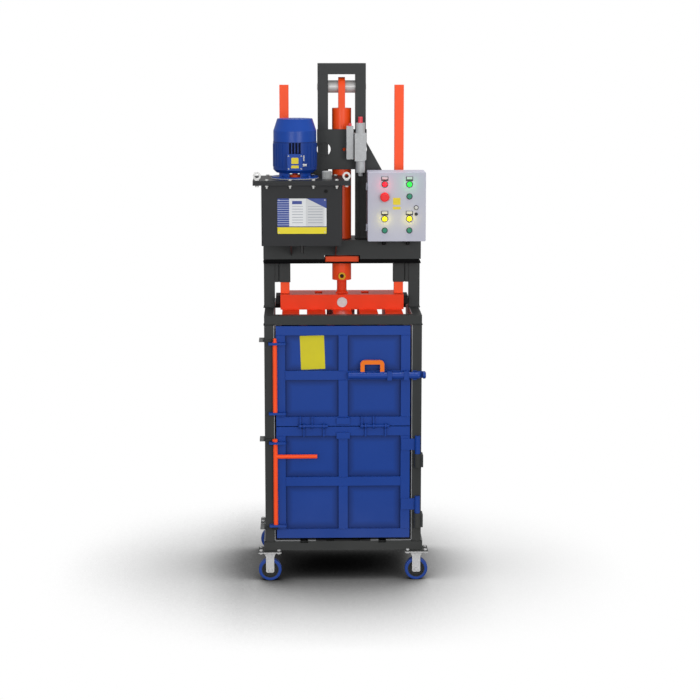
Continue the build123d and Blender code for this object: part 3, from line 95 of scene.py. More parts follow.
class Wire:
    """An output socket of a node. Sums and products of wires add Math nodes to its tree."""

    def __init__(self, tree, socket):
        self.tree = tree
        self.socket = socket

    def math(self, operation, *values):
        node = self.tree.nodes.new("ShaderNodeMath")
        node.operation = operation
        for place, value in enumerate(values):
            feed(self.tree, value, node.inputs[place])
        return Wire(self.tree, node.outputs[0])

    def __add__(self, other):
        return self.math("ADD", self, other)

    def __radd__(self, other):
        return self.math("ADD", other, self)

    def __sub__(self, other):
        return self.math("SUBTRACT", self, other)

    def __rsub__(self, other):
        return self.math("SUBTRACT", other, self)

    def __mul__(self, other):
        return self.math("MULTIPLY", self, other)

    def __rmul__(self, other):
        return self.math("MULTIPLY", other, self)

    def __truediv__(self, other):
        return self.math("DIVIDE", self, other)

    def __gt__(self, other):
        return self.math("GREATER_THAN", self, other)

    def __lt__(self, other):
        return self.math("LESS_THAN", self, other)

    def __abs__(self):
        return self.math("ABSOLUTE", self)

    def __pow__(self, other):
        return self.math("POWER", self, other)

    def between(self, low, high):
        return (self > low) * (self < high)

    def root(self):
        return self.math("SQRT", self)

    def fraction(self):
        return self.math("FRACT", self)


def feed(tree, value, socket):
    """Give a socket a wire or a plain value."""
    if isinstance(value, Wire):
        tree.links.new(value.socket, socket)
    else:
        socket.default_value = value


class Tree:
    """A node tree being wired: one method adds any node, its settings first and its sockets after."""

    def __init__(self, tree):
        self.tree = tree

    def node(self, kind, sockets=None, out=0, stops=None, **settings):
        node = self.tree.nodes.new(kind)
        for name, value in settings.items():
            setattr(node, name, value)
        for place, (position, color) in enumerate(stops or ()):
            marks = node.color_ramp.elements
            mark = marks[place] if place < 2 else marks.new(position)
            mark.position = position
            mark.color = color
        for name, value in (sockets or {}).items():
            feed(self.tree, value, node.inputs[name])
        return Wire(self.tree, node.outputs[out]) if node.outputs else node


world = bpy.data.worlds.new("white_room")
scene.world = world
world.use_nodes = True
world.node_tree.nodes.clear()
room = Tree(world.node_tree)
seen = room.node("ShaderNodeLightPath", out="Is Camera Ray")
mirrored = room.node("ShaderNodeLightPath", out="Is Glossy Ray")
on_the_object, added_behind, added_in_metal = 0.64, 0.36, -0.2
level = on_the_object + seen * added_behind + mirrored * added_in_metal
backdrop = room.node("ShaderNodeBackground", {"Color": (1, 1, 1, 1), "Strength": level})
room.node("ShaderNodeOutputWorld", {"Surface": backdrop})

floor_half = 14.0
floor_data = bpy.data.meshes.new("studio_floor")
floor_corners = [(x * floor_half, y * floor_half, 0) for x, y in ((-1, -1), (1, -1), (1, 1), (-1, 1))]
floor_data.from_pydata(floor_corners, [], [(0, 1, 2, 3)])
studio_floor = bpy.data.objects.new("studio_floor", floor_data)
scene.collection.objects.link(studio_floor)
floor_paint = bpy.data.materials.new("studio_floor")
floor_paint.use_nodes = True
floor_paint.node_tree.nodes.clear()
ground = Tree(floor_paint.node_tree)
shade_reach = 1.0
shade_width = 1.6
deepest = 5.0
depths = ((0.1, 0.64), (0.22, 0.92), (0.38, 0.68), (0.66, 0.62), (0.78, 0.48), (0.92, 0.28))
# The floor as the camera sees it is painted shade: an emission darkened by ambient occlusion.
near = ground.node("ShaderNodeAmbientOcclusion", {"Distance": shade_reach}, out="AO", samples=16)
spot = ground.node("ShaderNodeTexCoord", out="Object")
sideways = ground.node("ShaderNodeSeparateXYZ", {"Vector": spot}, out="X")
# This ramp makes the painted floor shade deeper on the left than on the right.
depth = ground.node("ShaderNodeValToRGB", {"Fac": sideways / shade_width + 0.5},
                    stops=[(place, (grey, grey, grey, 1.0)) for place, grey in depths])
shade = near ** (depth * deepest)
matt = ground.node("ShaderNodeBsdfDiffuse", {"Color": (0.3, 0.3, 0.3, 1)})
white = ground.node("ShaderNodeEmission", {"Color": shade, "Strength": 1.0})
seen = ground.node("ShaderNodeLightPath", out="Is Camera Ray")
painted_floor = ground.node("ShaderNodeMixShader", {0: seen, 1: matt, 2: white})
ground.node("ShaderNodeOutputMaterial", {"Surface": painted_floor})
floor_data.materials.append(floor_paint)

# Base: four welded square tubes, powder coated in dark anthracite, with the mounting pads and the
# strap channels welded under them. The coat has a fine orange peel and gathers a little dust low down.


def tone(red, green, blue):
    """A colour given as it shows on a screen, 0 to 255, turned to the shader's linear scale."""
    return tuple(value / 3294.6 if value <= 10.3 else ((value / 255 + 0.055) / 1.055) ** 2.4
                 for value in (red, green, blue))


class Finish(Tree):
    """A procedural surface on the object's own coordinates, built round one Principled shader."""

    def __init__(self, name, color, roughness, metallic=0.0, coat=0.0):
        self.material = bpy.data.materials.new(name)
        self.material.use_nodes = True
        super().__init__(self.material.node_tree)
        self.shader = self.tree.nodes["Principled BSDF"]
        self.color = color
        self.set("Base Color", (*color, 1.0))
        self.set("Roughness", roughness)
        self.set("Metallic", metallic)
        self.set("Coat Weight", coat)
        self.set("Coat Roughness", 0.12)
        self.place = self.node("ShaderNodeTexCoord", out="Object")
        axes = self.tree.nodes.new("ShaderNodeSeparateXYZ")
        feed(self.tree, self.place, axes.inputs[0])
        self.x, self.y, self.z = (Wire(self.tree, axes.outputs[axis]) for axis in range(3))

    def set(self, socket, value):
        feed(self.tree, value, self.shader.inputs[socket])

    def grain(self, scale, detail=2.0, stretch=None):
        """Noise between 0 and 1, even or drawn out along an axis."""
        vector = self.place
        if stretch:
            vector = self.node("ShaderNodeMapping", {"Vector": vector, "Scale": stretch})
        return self.node("ShaderNodeTexNoise", {"Vector": vector, "Scale": scale, "Detail": detail})

    def mix(self, mask, first, second):
        """The first colour, or the second where the mask is 1."""
        node = self.tree.nodes.new("ShaderNodeMix")
        node.data_type = "RGBA"
        feed(self.tree, mask, node.inputs["Factor"])
        colors = [socket for socket in node.inputs if socket.type == "RGBA"]
        for value, socket in zip((first, second), colors):
            feed(self.tree, value if isinstance(value, Wire) else (*value, 1.0), socket)
        return Wire(self.tree, [socket for socket in node.outputs if socket.type == "RGBA"][0])

    def shade(self, color, amount, mask):
        """The colour made lighter or darker by the amount where the mask is 1."""
        return self.node("ShaderNodeVectorMath", {0: color, "Scale": 1 + mask * amount}, operation="SCALE")

    def painted(self):
        """What colours the surface so far: a wire, or the plain colour."""
        links = self.shader.inputs["Base Color"].links
        return Wire(self.tree, links[0].from_socket) if links else self.color

    def paint(self, mask, color):
        """Give the surface another colour where the mask is 1."""
        self.set("Base Color", self.mix(mask, self.painted(), color))

    def darken(self, mask, amount):
        """Make the surface darker by the amount where the mask is 1."""
        self.set("Base Color", self.shade(self.painted(), -amount, mask))

    def relief(self, height, strength, distance, edge=0.0012):
        """Fine relief, over edges that look slightly rounded."""
        rounded = self.node("ShaderNodeBevel", {"Radius": edge}, samples=4)
        bump = self.node("ShaderNodeBump", {"Height": height, "Strength": strength, "Distance": distance,
                                            "Normal": rounded})
        self.set("Normal", bump)


def powder_coat(name, color, roughness=0.42, dust=0.0, coat=0.0):
    """Sprayed powder coat: fine orange peel, faint clouds in the colour, dust near the floor."""
    finish = Finish(name, color, roughness, coat=coat)
    finish.set("Specular IOR Level", 0.3)
    clouds = finish.grain(5.0, 3.0)
    speckle = finish.grain(420.0, 1.0)
    finish.set("Base Color", finish.shade(color, 0.22, clouds))
    finish.paint(speckle * 0.1, [part * 0.8 for part in color])
    if dust:
        low = finish.node("ShaderNodeMapRange", {"Value": finish.z, "From Min": 0.45, "From Max": 0.05})
        finish.paint(low * clouds * dust, (0.35, 0.33, 0.3))
    finish.set("Roughness", roughness - 0.05 + clouds * 0.1)
    finish.relief(finish.grain(650.0, 2.0), 0.12, 0.0006)
    return finish


def dress(finish, *names):
    """Give a finish to nodes of the frame."""
    for name in names:
        slots = nodes[name].data.materials
        slots.clear()
        slots.append(finish.material)


anthracite = powder_coat("anthracite_coat", tone(49, 51, 51), dust=0.1)
dress(anthracite, "base_rails", "strap_channels")

# Floor plates: cut steel sheets laid on the base tubes, bright at both sides and black in the middle,
# with the strap grooves between them.

middle_x = (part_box("crossbeam")[0].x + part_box("crossbeam")[1].x) / 2
black_middle_half = 0.12
plate_steel = Finish("floor_plate_steel", tone(150, 151, 152), 0.38, metallic=0.75)
rolled = plate_steel.grain(9.0, 4.0, (1.0, 0.15, 1.0))
# The plates are coloured near black and made less metallic in the middle.
black_middle = abs(plate_steel.x - middle_x) < black_middle_half
plate_steel.set("Base Color", plate_steel.shade(plate_steel.color, 0.25, rolled))
plate_steel.paint(black_middle, (0.012, 0.012, 0.013))
plate_steel.set("Metallic", 0.75 - black_middle * 0.6)
plate_steel.set("Roughness", 0.32 + rolled * 0.2)
plate_steel.relief(plate_steel.grain(300.0, 3.0, (1.0, 0.1, 1.0)), 0.15, 0.0004)
dress(plate_steel, "floor_plates")

# Casters: pressed zinc-plated forks with bolts and nuts, and wheels with a moulded dark grey hub
# under a tyre of blue elastic rubber.


def zinc_plate(name, color, roughness=0.34, metallic=0.85, patch=190.0, contrast=-0.14):
    """Bright zinc plating with faint crystal patches and handling marks."""
    finish = Finish(name, color, roughness, metallic=metallic)
    patches = finish.node("ShaderNodeTexVoronoi", {"Vector": finish.place, "Scale": patch}, out="Color")
    value = finish.node("ShaderNodeSeparateColor", {"Color": patches}, mode="HSV", out=2)
    smears = finish.grain(40.0, 4.0)
    finish.set("Base Color", finish.shade(color, contrast, value))
    finish.darken(smears, 0.2)
    finish.set("Roughness", roughness - 0.06 + value * 0.08 + smears * 0.1)
    finish.relief(smears, 0.08, 0.0004, 0.0006)
    return finish


bright_zinc = zinc_plate("bright_zinc", tone(236, 236, 234), metallic=0.35)
fork_zinc = zinc_plate("fork_zinc", tone(232, 232, 232), 0.5, 0.08)
dress(fork_zinc, "caster_forks", "caster_fasteners")

wheel_radius = (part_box("wheel_front_left")[1].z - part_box("wheel_front_left")[0].z) / 2
wheel_reach = (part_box("wheel_front_right")[0].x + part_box("wheel_front_right")[1].x) / 2 - middle_x
hub_radius = 0.037
boss_radius = 0.0135
tread_depth = 0.0012

tyre_rubber = Finish("blue_tyre_rubber", tone(20, 70, 165), 0.5)
from_axle_x = abs(tyre_rubber.x - middle_x) - wheel_reach
from_axle_z = tyre_rubber.z - wheel_radius
from_axle = (from_axle_x * from_axle_x + from_axle_z * from_axle_z).root()
on_hub = from_axle < hub_radius
on_boss = from_axle < boss_radius
scuffs = tyre_rubber.grain(120.0, 4.0)
tread = from_axle > wheel_radius - tread_depth
tyre_rubber.darken(scuffs, 0.25)
tyre_rubber.paint(tread * scuffs * 0.5, (0.05, 0.06, 0.08))
tyre_rubber.paint(on_hub, tyre_rubber.mix(on_boss, tone(46, 48, 48), tone(140, 142, 145)))
tyre_rubber.set("Roughness", 0.45 + on_hub * 0.1 + scuffs * 0.12)
tyre_rubber.relief(tyre_rubber.grain(500.0, 2.0), 0.15, 0.0005, 0.001)
dress(tyre_rubber, "wheel_front_left", "wheel_front_right", "wheel_rear_left", "wheel_rear_right")

# Chamber: four tube posts under a ring of tube rails in the same coat, joined by fillet welds under
# the paint. The walls between them are left as bright galvanised sheet, rubbed smooth by the bales.

dress(anthracite, "chamber_posts", "chamber_rails", "upper_posts", "guide_sleeves")
wall_zinc = zinc_plate("galvanised_wall", tone(204, 206, 209), 0.42, 0.35, patch=55.0, contrast=-0.3)
dress(wall_zinc, "chamber_walls")


def settle(name, mesh, body):
    """Put a finished mesh into the scene as a piece that rides on a body."""
    piece = bpy.data.objects.new(name, mesh)
    scene.collection.objects.link(piece)
    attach(piece, body)


class Pattern(Tree):
    """A Geometry Nodes tree whose sizes are named inputs; it turns one source mesh into a piece."""

    def __init__(self, name):
        group = bpy.data.node_groups.new(name, "GeometryNodeTree")
        group.interface.new_socket("Geometry", in_out="INPUT", socket_type="NodeSocketGeometry")
        group.interface.new_socket("Geometry", in_out="OUTPUT", socket_type="NodeSocketGeometry")
        super().__init__(group)
        self.entry = group.nodes.new("NodeGroupInput")
        self.exit = group.nodes.new("NodeGroupOutput")
        self.sizes = {}
        self.start = Wire(group, self.entry.outputs["Geometry"])

    def size(self, name, value):
        """Add a named size and return its wire."""
        socket = self.tree.interface.new_socket(name, in_out="INPUT", socket_type="NodeSocketFloat")
        self.sizes[socket.identifier] = value
        return Wire(self.tree, self.entry.outputs[name])

    def finish(self, name, source, body, slot, *parts):
        """Realize the parts on the source mesh, each in its own finish, and settle the plain mesh."""
        joined = self.tree.nodes.new("GeometryNodeJoinGeometry")
        for shape, finish in parts:
            shape = self.node("GeometryNodeRealizeInstances", {"Geometry": shape})
            shape = self.node("GeometryNodeSetMaterial", {"Geometry": shape, "Material": finish.material})
            feed(self.tree, shape, joined.inputs[0])
        feed(self.tree, Wire(self.tree, joined.outputs[0]), self.exit.inputs["Geometry"])
        carrier = bpy.data.objects.new(name + "_source", source)
        scene.collection.objects.link(carrier)
        modifier = carrier.modifiers.new("pattern", "NODES")
        modifier.node_group = self.tree
        for identifier, value in self.sizes.items():
            modifier[identifier] = value
        bpy.context.view_layer.update()
        seen_by = bpy.context.evaluated_depsgraph_get()
        mesh = bpy.data.meshes.new_from_object(carrier.evaluated_get(seen_by), depsgraph=seen_by)
        bpy.data.objects.remove(carrier)
        bpy.data.meshes.remove(source)
        settle(name, mesh, body)


def weld(name, runs, finish, body, slot, width=0.005):
    """Weld seams: overlapping flat beads along straight runs, each given by its two ends."""
    source = bpy.data.meshes.new(name)
    ends = [point for run in runs for point in run]
    source.from_pydata(ends, [(place, place + 1) for place in range(0, len(ends), 2)], [])
    seam = Pattern(name)
    bead = seam.size("Bead width", width)
    line = seam.node("GeometryNodeMeshToCurve", {"Mesh": seam.start})
    line = seam.node("GeometryNodeResampleCurve", {"Curve": line, "Length": bead * 0.9}, mode="LENGTH")
    ball = seam.node("GeometryNodeMeshUVSphere", {"Segments": 7, "Rings": 4, "Radius": bead * 0.62})
    ball = seam.node("GeometryNodeSetShadeSmooth", {"Geometry": ball})
    beads = seam.node("GeometryNodeInstanceOnPoints", {"Points": line, "Instance": ball})
    seam.finish(name, source, body, slot, (beads, finish))


def corner_runs(low, high, z):
    """The four seams round a tube's foot."""
    corners = [(low[0], low[1], z), (high[0], low[1], z), (high[0], high[1], z), (low[0], high[1], z)]
    return [(corners[place], corners[(place + 1) % 4]) for place in range(4)]


tube = 0.04
upper_tube = 0.048
post_low, post_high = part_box("chamber_posts")
frame_runs = []
for z in (post_low.z, post_high.z):
    for x in (post_low.x, post_high.x - tube):
        for y in (post_low.y, post_high.y - tube):
            frame_runs += corner_runs((x, y), (x + tube, y + tube), z)
upper_low, upper_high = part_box("upper_posts")
for z in (upper_low.z, upper_high.z):
    for x in (upper_low.x, upper_high.x - upper_tube):
        frame_runs += corner_runs((x, upper_low.y), (x + upper_tube, upper_high.y), z)
weld("frame_welds", frame_runs, anthracite, "machine", "frame_paint")

# Crossbeam: a welded box beam on a set-back neck and a thin base plate in flat black, a painted shadow for
# the dark gap under the beam. Portal and gusset plate stand on it; the plate carries the valve and the
# control box.

# Flat black with almost no gloss: a painted shadow for the dark gap under the beam.
black_coat = powder_coat("black_coat", tone(12, 12, 13), 0.55)
black_coat.set("Specular IOR Level", 0.05)
dress(black_coat, "crossbeam_base")
dress(anthracite, "crossbeam", "portal", "gusset_plate")

portal_low, portal_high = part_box("portal")
gusset_low, gusset_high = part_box("gusset_plate")
portal_leg = 0.045
opening_half = 0.079
portal_runs = []
for x in (portal_low.x, portal_high.x - portal_leg):
    portal_runs += corner_runs((x, portal_low.y), (x + portal_leg, portal_high.y), portal_low.z)
for start, end in ((gusset_low.x, middle_x - opening_half), (middle_x + opening_half, gusset_high.x)):
    portal_runs.append(((start, gusset_low.y, portal_low.z), (end, gusset_low.y, portal_low.z)))
weld("portal_welds", portal_runs, anthracite, "machine", "frame_paint")

# Press: barrel, platen and guide bars are steel in glossy orange-red enamel, with a yellow plug ring
# round the oil port in front. The pins are zinc plated, the rod is hard chromed with an enamelled eye,
# and the guide pads are black nylon.

signal_red = powder_coat("signal_red_enamel", tone(238, 58, 6), 0.36, coat=0.08)
dress(signal_red, "platen")
bright_red = powder_coat("bright_red_enamel", tone(255, 84, 34), 0.4)
dress(bright_red, "guide_bars")

barrel_low, barrel_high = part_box("cylinder_barrel")
barrel_axis_y = (barrel_low.y + barrel_high.y) / 2
port_z = 1.320
port_radius = 0.0088
ring_radius = 0.0175
ring_depth = 0.0495
port_depth = 0.02
cylinder_red = powder_coat("cylinder_red_enamel", tone(246, 78, 22), 0.36, coat=0.05)
beside_port = cylinder_red.x - middle_x
above_port = cylinder_red.z - port_z
from_port = (beside_port * beside_port + above_port * above_port).root()
ring = (cylinder_red.y < barrel_axis_y - ring_depth) * (from_port < ring_radius)
# The port's bore is painted near black: painted shade inside the hole.
bore = (cylinder_red.y < barrel_axis_y - port_depth) * (from_port < port_radius)
cylinder_red.paint(ring, tone(222, 178, 20))
cylinder_red.paint(bore, (0.01, 0.008, 0.006))
dress(cylinder_red, "cylinder_barrel")
dress(bright_zinc, "portal_pin", "clevis_pin")

eye_top_z = 1.31
rod_chrome = Finish("hard_chrome", tone(205, 206, 208), 0.12, metallic=1.0)
turned = rod_chrome.grain(60.0, 3.0, (1.0, 1.0, 12.0))
rod_chrome.set("Roughness", 0.08 + turned * 0.1)
rod_chrome.darken(turned, 0.1)
rod_eye = rod_chrome.z < eye_top_z
rod_chrome.paint(rod_eye, tone(232, 64, 28))
rod_chrome.set("Metallic", 1.0 - rod_eye)
rod_chrome.relief(turned, 0.04, 0.0002, 0.0008)
dress(rod_chrome, "piston_rod")


def moulded(name, color, roughness, clouds, contrast, gloss, relief=None, skin=None):
    """A moulded or printed surface: faint clouds in colour and gloss, and a fine skin if it has one."""
    finish = Finish(name, color, roughness)
    cloud = finish.grain(*clouds)
    finish.set("Base Color", finish.shade(color, contrast, cloud))
    finish.set("Roughness", roughness + cloud * gloss)
    if relief:
        finish.relief(finish.grain(skin, 2.0) if skin else cloud, *relief)
    return finish


nylon_black = moulded("black_nylon", tone(16, 16, 17), 0.5, clouds=(60.0, 3.0), contrast=0.5, gloss=0.12,
                      relief=(0.15, 0.0004, 0.0008), skin=700.0)
nylon_black.set("Specular IOR Level", 0.2)
dress(nylon_black, "guide_pads")

# Oil tank: folded and welded sheet with an outward rim, in a slightly darker coat, closed by a cover
# on eight bolts with two forged lifting rings. A printed plate is riveted to its front, and a black
# plug closes a bore beside it.

tank_coat = powder_coat("tank_coat", tone(36, 37, 39), 0.38)
dress(tank_coat, "oil_tank", "tank_cover")
dress(bright_zinc, "lifting_rings")

tank_zinc = zinc_plate("tank_zinc", tone(232, 232, 230), 0.4, 0.3)
tank_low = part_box("oil_tank")[0]
on_drain = tank_zinc.z < tank_low.z
tank_zinc.paint(on_drain, (0.006, 0.006, 0.006))
tank_zinc.set("Metallic", 0.3 - on_drain * 0.3)
dress(tank_zinc, "tank_fasteners")

cap_low, cap_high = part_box("filler_cap")
cap_middle = (cap_low + cap_high) / 2
cap_grooves = 32
cap_top_edge = 0.003
cap_plastic = moulded("filler_cap_plastic", tone(160, 162, 162), 0.4, clouds=(90.0, 3.0), contrast=0.3,
                      gloss=0.12, relief=(0.12, 0.0003, 0.0006), skin=800.0)
cap_depth = cap_plastic.y - cap_middle.y
cap_turn = cap_depth.math("ARCTAN2", cap_depth, cap_plastic.x - cap_middle.x)
# The knurl's grooves are painted darker below the cap's top edge: painted shade in the grooves.
groove_shade = (cap_turn * (cap_grooves / 2 / math.pi)).fraction() < 0.3
cap_plastic.darken(groove_shade * (cap_plastic.z < cap_high.z - cap_top_edge), 0.4)
dress(cap_plastic, "filler_cap")


def plate(name, centre, width, height, thick, radius, finish, body, turn=0.0):
    """A thin plate facing the operator, with rounded corners, softened edges and its back at the centre."""
    shape = bmesh.new()
    rim = []
    steps = 5
    for corner, (side, rise) in enumerate(((1, 1), (-1, 1), (-1, -1), (1, -1))):
        for step in range(steps + 1):
            angle = math.radians(90 * corner + 90 * step / steps)
            rim.append((side * (width / 2 - radius) + radius * math.cos(angle),
                        rise * (height / 2 - radius) + radius * math.sin(angle)))
    spin = Matrix.Rotation(turn, 4, "Y")
    soft = min(0.3 * thick, 0.0005)
    rings = []
    for depth, inset in ((0, 0), (thick - soft, 0), (thick, soft)):
        scale_x = 1 - 2 * inset / width
        scale_z = 1 - 2 * inset / height
        rings.append([shape.verts.new(Vector(centre) + spin @ Vector((x * scale_x, -depth, z * scale_z)))
                      for x, z in rim])
    count = len(rim)
    for lower, upper in zip(rings, rings[1:]):
        for place in range(count):
            after = (place + 1) % count
            shape.faces.new((lower[place], lower[after], upper[after], upper[place]))
    shape.faces.new(rings[0])
    shape.faces.new(list(reversed(rings[-1])))
    bmesh.ops.recalc_face_normals(shape, faces=shape.faces)
    mesh = bpy.data.meshes.new(name)
    shape.to_mesh(mesh)
    shape.free()
    mesh.materials.append(finish.material)
    settle(name, mesh, body)


tank_rim = 0.035
tank_face_y = tank_low.y + tank_rim
label_width = 0.208
label_height = 0.15
label_x = middle_x - 0.175
label_z = 1.611

data_plate = Finish("data_plate_print", tone(232, 234, 236), 0.3)
along = (data_plate.x - (label_x - label_width / 2)) / label_width
upward = (data_plate.z - (label_z - label_height / 2)) / label_height
print_blue = tone(30, 62, 150)
footer_top = 0.2
column = along.between(0.58, 0.96) * (upward > 0.22)
rows = (upward * 13.0).fraction() < 0.2
gap = along.between(0.52, 0.62)
table = rows * along.between(0.3, 0.92) * upward.between(0.26, 0.78) * (1 - gap)
block = along.between(0.3, 0.5) * upward.between(0.84, 0.93)
corner = along * 0.7 + upward > 1.42
band = (along < 0.24) * (upward > footer_top)
stripes = (upward * 16.0).fraction() < 0.22
data_plate.paint(column, tone(214, 216, 218))
data_plate.paint(table, tone(150, 156, 168))
data_plate.paint(block, tone(40, 66, 150))
data_plate.paint(corner, print_blue)
data_plate.paint(band, data_plate.mix(stripes, print_blue, tone(190, 200, 226)))
data_plate.paint(upward < footer_top, tone(240, 222, 0))
data_plate.paint(abs(upward - footer_top) < 0.012, tone(28, 44, 110))
fade = data_plate.grain(30.0, 3.0)
data_plate.paint(fade * 0.08, (0.5, 0.5, 0.5))
data_plate.set("Roughness", 0.26 + fade * 0.1)
data_plate.relief(fade, 0.03, 0.0003, 0.0003)
plate("data_plate", (label_x, tank_face_y, label_z), label_width, label_height, thick=0.0012, radius=0.004,
      finish=data_plate, body="machine")


def studs(name, points, aim, sizes, finish, body, slot, socket=None):
    """Round or hexagonal heads on given points: sizes are the head's radius, height and side count."""
    source = bpy.data.meshes.new(name)
    source.from_pydata(points, [], [])
    head_radius, head_height, sides = sizes
    group = Pattern(name)
    radius = group.size("Head radius", head_radius)
    height = group.size("Head height", head_height)
    turn = group.node("FunctionNodeAlignRotationToVector", {"Vector": aim}, axis="Z")
    head = group.node("GeometryNodeMeshCone", {"Vertices": sides, "Radius Top": radius * 0.86,
                                               "Radius Bottom": radius, "Depth": height})
    parts = [(head, finish)]
    if socket:
        well = group.node("GeometryNodeMeshCylinder",
                          {"Vertices": 6, "Radius": radius * 0.45, "Depth": height * 0.2})
        rise = group.node("ShaderNodeCombineXYZ", {"Z": height * 0.96})
        well = group.node("GeometryNodeTransform", {"Geometry": well, "Translation": rise})
        parts.append((well, socket))
    spread = [(group.node("GeometryNodeInstanceOnPoints",
                          {"Points": group.start, "Instance": part, "Rotation": turn}), coat)
              for part, coat in parts]
    group.finish(name, source, body, slot, *spread)


to_front = (0, -1, 0)
rivet_inset = 0.007
rivet_y = tank_face_y - 0.001
rivet_reach_x = label_width / 2 - rivet_inset
rivet_reach_z = label_height / 2 - rivet_inset
rivets = [(label_x + side * rivet_reach_x, rivet_y, label_z + rise * rivet_reach_z)
          for side in (-1, 1) for rise in (-1, 1)]
studs("data_plate_rivets", rivets, to_front, (0.0028, 0.0016, 12), bright_zinc, "machine", "zinc")
plug_x, plug_z = middle_x - 0.073, 1.716
studs("tank_plug", [(plug_x, tank_face_y, plug_z)], to_front, (0.008, 0.004, 12), nylon_black,
      "machine", "black_plastic", nylon_black)

# Motor: a cast body with ribs and air slots in blue enamel under a pressed fan cowl, with a terminal box
# and a bright clip beside it. Its lantern shows the red coupling, and the motor's flange is bedded on
# it in pale sealant.

motor_blue = powder_coat("motor_blue_enamel", tone(16, 66, 156), 0.34, coat=0.1)
dress(motor_blue, "motor_lantern", "motor_cowl")
dress(bright_red, "motor_rotor")

motor_low, motor_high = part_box("motor_body")
motor_x = (motor_low.x + motor_high.x) / 2
motor_y = (motor_low.y + motor_high.y) / 2
motor_radius = (motor_high.x - motor_low.x) / 2

body_blue = powder_coat("motor_body_enamel", tone(14, 56, 136), 0.4)
cowl_shade_band = 0.005
# The top of the body, just under the cowl, is painted darker: painted shade under the cowl's edge.
body_blue.darken(body_blue.z > motor_high.z - cowl_shade_band, 0.25)
dress(body_blue, "motor_body")


def bars_round(name, angles, z, sizes, finish, slot):
    """Upright bars on the motor's body at the given angles: sizes are their depth, width and height."""
    source = bpy.data.meshes.new(name)
    turns = [(math.cos(math.radians(angle)), math.sin(math.radians(angle)), 0) for angle in angles]
    feet = [(motor_x + motor_radius * x, motor_y + motor_radius * y, z) for x, y, _ in turns]
    source.from_pydata(feet, [], [])
    aims = source.attributes.new("aim", "FLOAT_VECTOR", "POINT")
    for place, aim in enumerate(turns):
        aims.data[place].vector = aim
    pattern = Pattern(name)
    depth, width, height = (pattern.size("Bar " + part, value)
                            for part, value in zip(("depth", "width", "height"), sizes))
    size = pattern.node("ShaderNodeCombineXYZ", {"X": depth, "Y": width, "Z": height})
    bar = pattern.node("GeometryNodeMeshCube", {"Size": size})
    aim = pattern.node("GeometryNodeInputNamedAttribute", {"Name": "aim"}, data_type="FLOAT_VECTOR")
    facing = pattern.node("FunctionNodeAlignRotationToVector", {"Vector": aim}, axis="X")
    bars = pattern.node("GeometryNodeInstanceOnPoints",
                        {"Points": pattern.start, "Instance": bar, "Rotation": facing})
    pattern.finish(name, source, "machine", slot, (bars, finish))


slot_dark = moulded("air_slot_shadow", tone(12, 18, 44), 0.75, clouds=(80.0, 2.0), contrast=-0.3, gloss=0.1)
slot_dark.set("Specular IOR Level", 0.1)
to_front_angle = -90
slot_pitch = 8.2
slot_z = 1.8905
slot_angles = [to_front_angle + (place - 1.5) * slot_pitch for place in range(4)]
bars_round("motor_air_slots", slot_angles, slot_z, (0.0016, 0.0092, 0.054), slot_dark, "black_plastic")
rib_z = 1.862
rib_angles = [to_front_angle + turn for turn in range(36, 330, 12)]
bars_round("motor_ribs", rib_angles, rib_z, (0.0034, 0.005, 0.096), body_blue, "motor_paint")

terminal_blue = powder_coat("terminal_box_enamel", tone(16, 64, 152), 0.36)
gland_start = 0.0335
terminal_blue.paint(terminal_blue.x > motor_x + gland_start, tone(205, 207, 208))
dress(terminal_blue, "terminal_box")

terminal_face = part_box("terminal_box")[0].y
patch_yellow = moulded("patch_yellow", tone(234, 212, 32), 0.3, clouds=(60.0, 3.0), contrast=-0.12,
                       gloss=0.12, relief=(0.03, 0.0002, 0.0003))
plate("terminal_patch", (motor_x, terminal_face, 1.843), width=0.03, height=0.026, thick=0.0006,
      radius=0.003, finish=patch_yellow, body="machine")
plate("terminal_strip", (motor_x, terminal_face, 1.8175), width=0.032, height=0.012, thick=0.0006,
      radius=0.002, finish=patch_yellow, body="machine")
screw_reach = 0.027
screws = [(motor_x + side * screw_reach, terminal_face, z) for side in (-1, 1) for z in (1.809, 1.863)]
studs("terminal_screws", screws, to_front, (0.0032, 0.0022, 12), bright_zinc, "machine", "zinc", nylon_black)
plate("motor_clip", (motor_x + 0.0375, motor_y - 0.0822, 1.852), width=0.0055, height=0.024, thick=0.0042,
      radius=0.001, finish=bright_zinc, body="machine")

sealant = moulded("pale_sealant", tone(196, 198, 200), 0.45, clouds=(150.0, 3.0), contrast=-0.25, gloss=0.15)
seal_lift = 0.0006
seat = bpy.data.meshes.new("flange_seal")
seat.from_pydata([(motor_x, motor_y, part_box("motor_lantern")[0].z + seal_lift)], [], [])
seal = Pattern("flange_seal")
seal_radius = seal.size("Flange radius", 0.1002)
bead_radius = seal.size("Bead radius", 0.0016)
around = seal.node("GeometryNodeCurvePrimitiveCircle", {"Resolution": 72, "Radius": seal_radius})
section = seal.node("GeometryNodeCurvePrimitiveCircle", {"Resolution": 8, "Radius": bead_radius})
bead = seal.node("GeometryNodeCurveToMesh", {"Curve": around, "Profile Curve": section})
bead = seal.node("GeometryNodeInstanceOnPoints", {"Points": seal.start, "Instance": bead})
seal.finish("flange_seal", seat, "machine", "motor_paint", (bead, sealant))

# Valve: a machined zinc-plated block, bolted to the gusset plate, with two solenoid coils that end in
# red moulded caps.

valve_metal = zinc_plate("valve_metal", tone(206, 208, 209), 0.5, 0.1)
dress(valve_metal, "valve_body")
cap_red = moulded("cap_red_plastic", tone(240, 66, 80), 0.3, clouds=(80.0, 2.0), contrast=-0.15, gloss=0.1,
                  relief=(0.05, 0.0003, 0.0005))
dress(cap_red, "valve_caps")

# Control box: folded steel in a pale grey texture coat, with a hinged door that carries four lamps, each
# under its small legend holder, a red stop button and three green buttons. Two plain yellow patches are
# glued to the door.

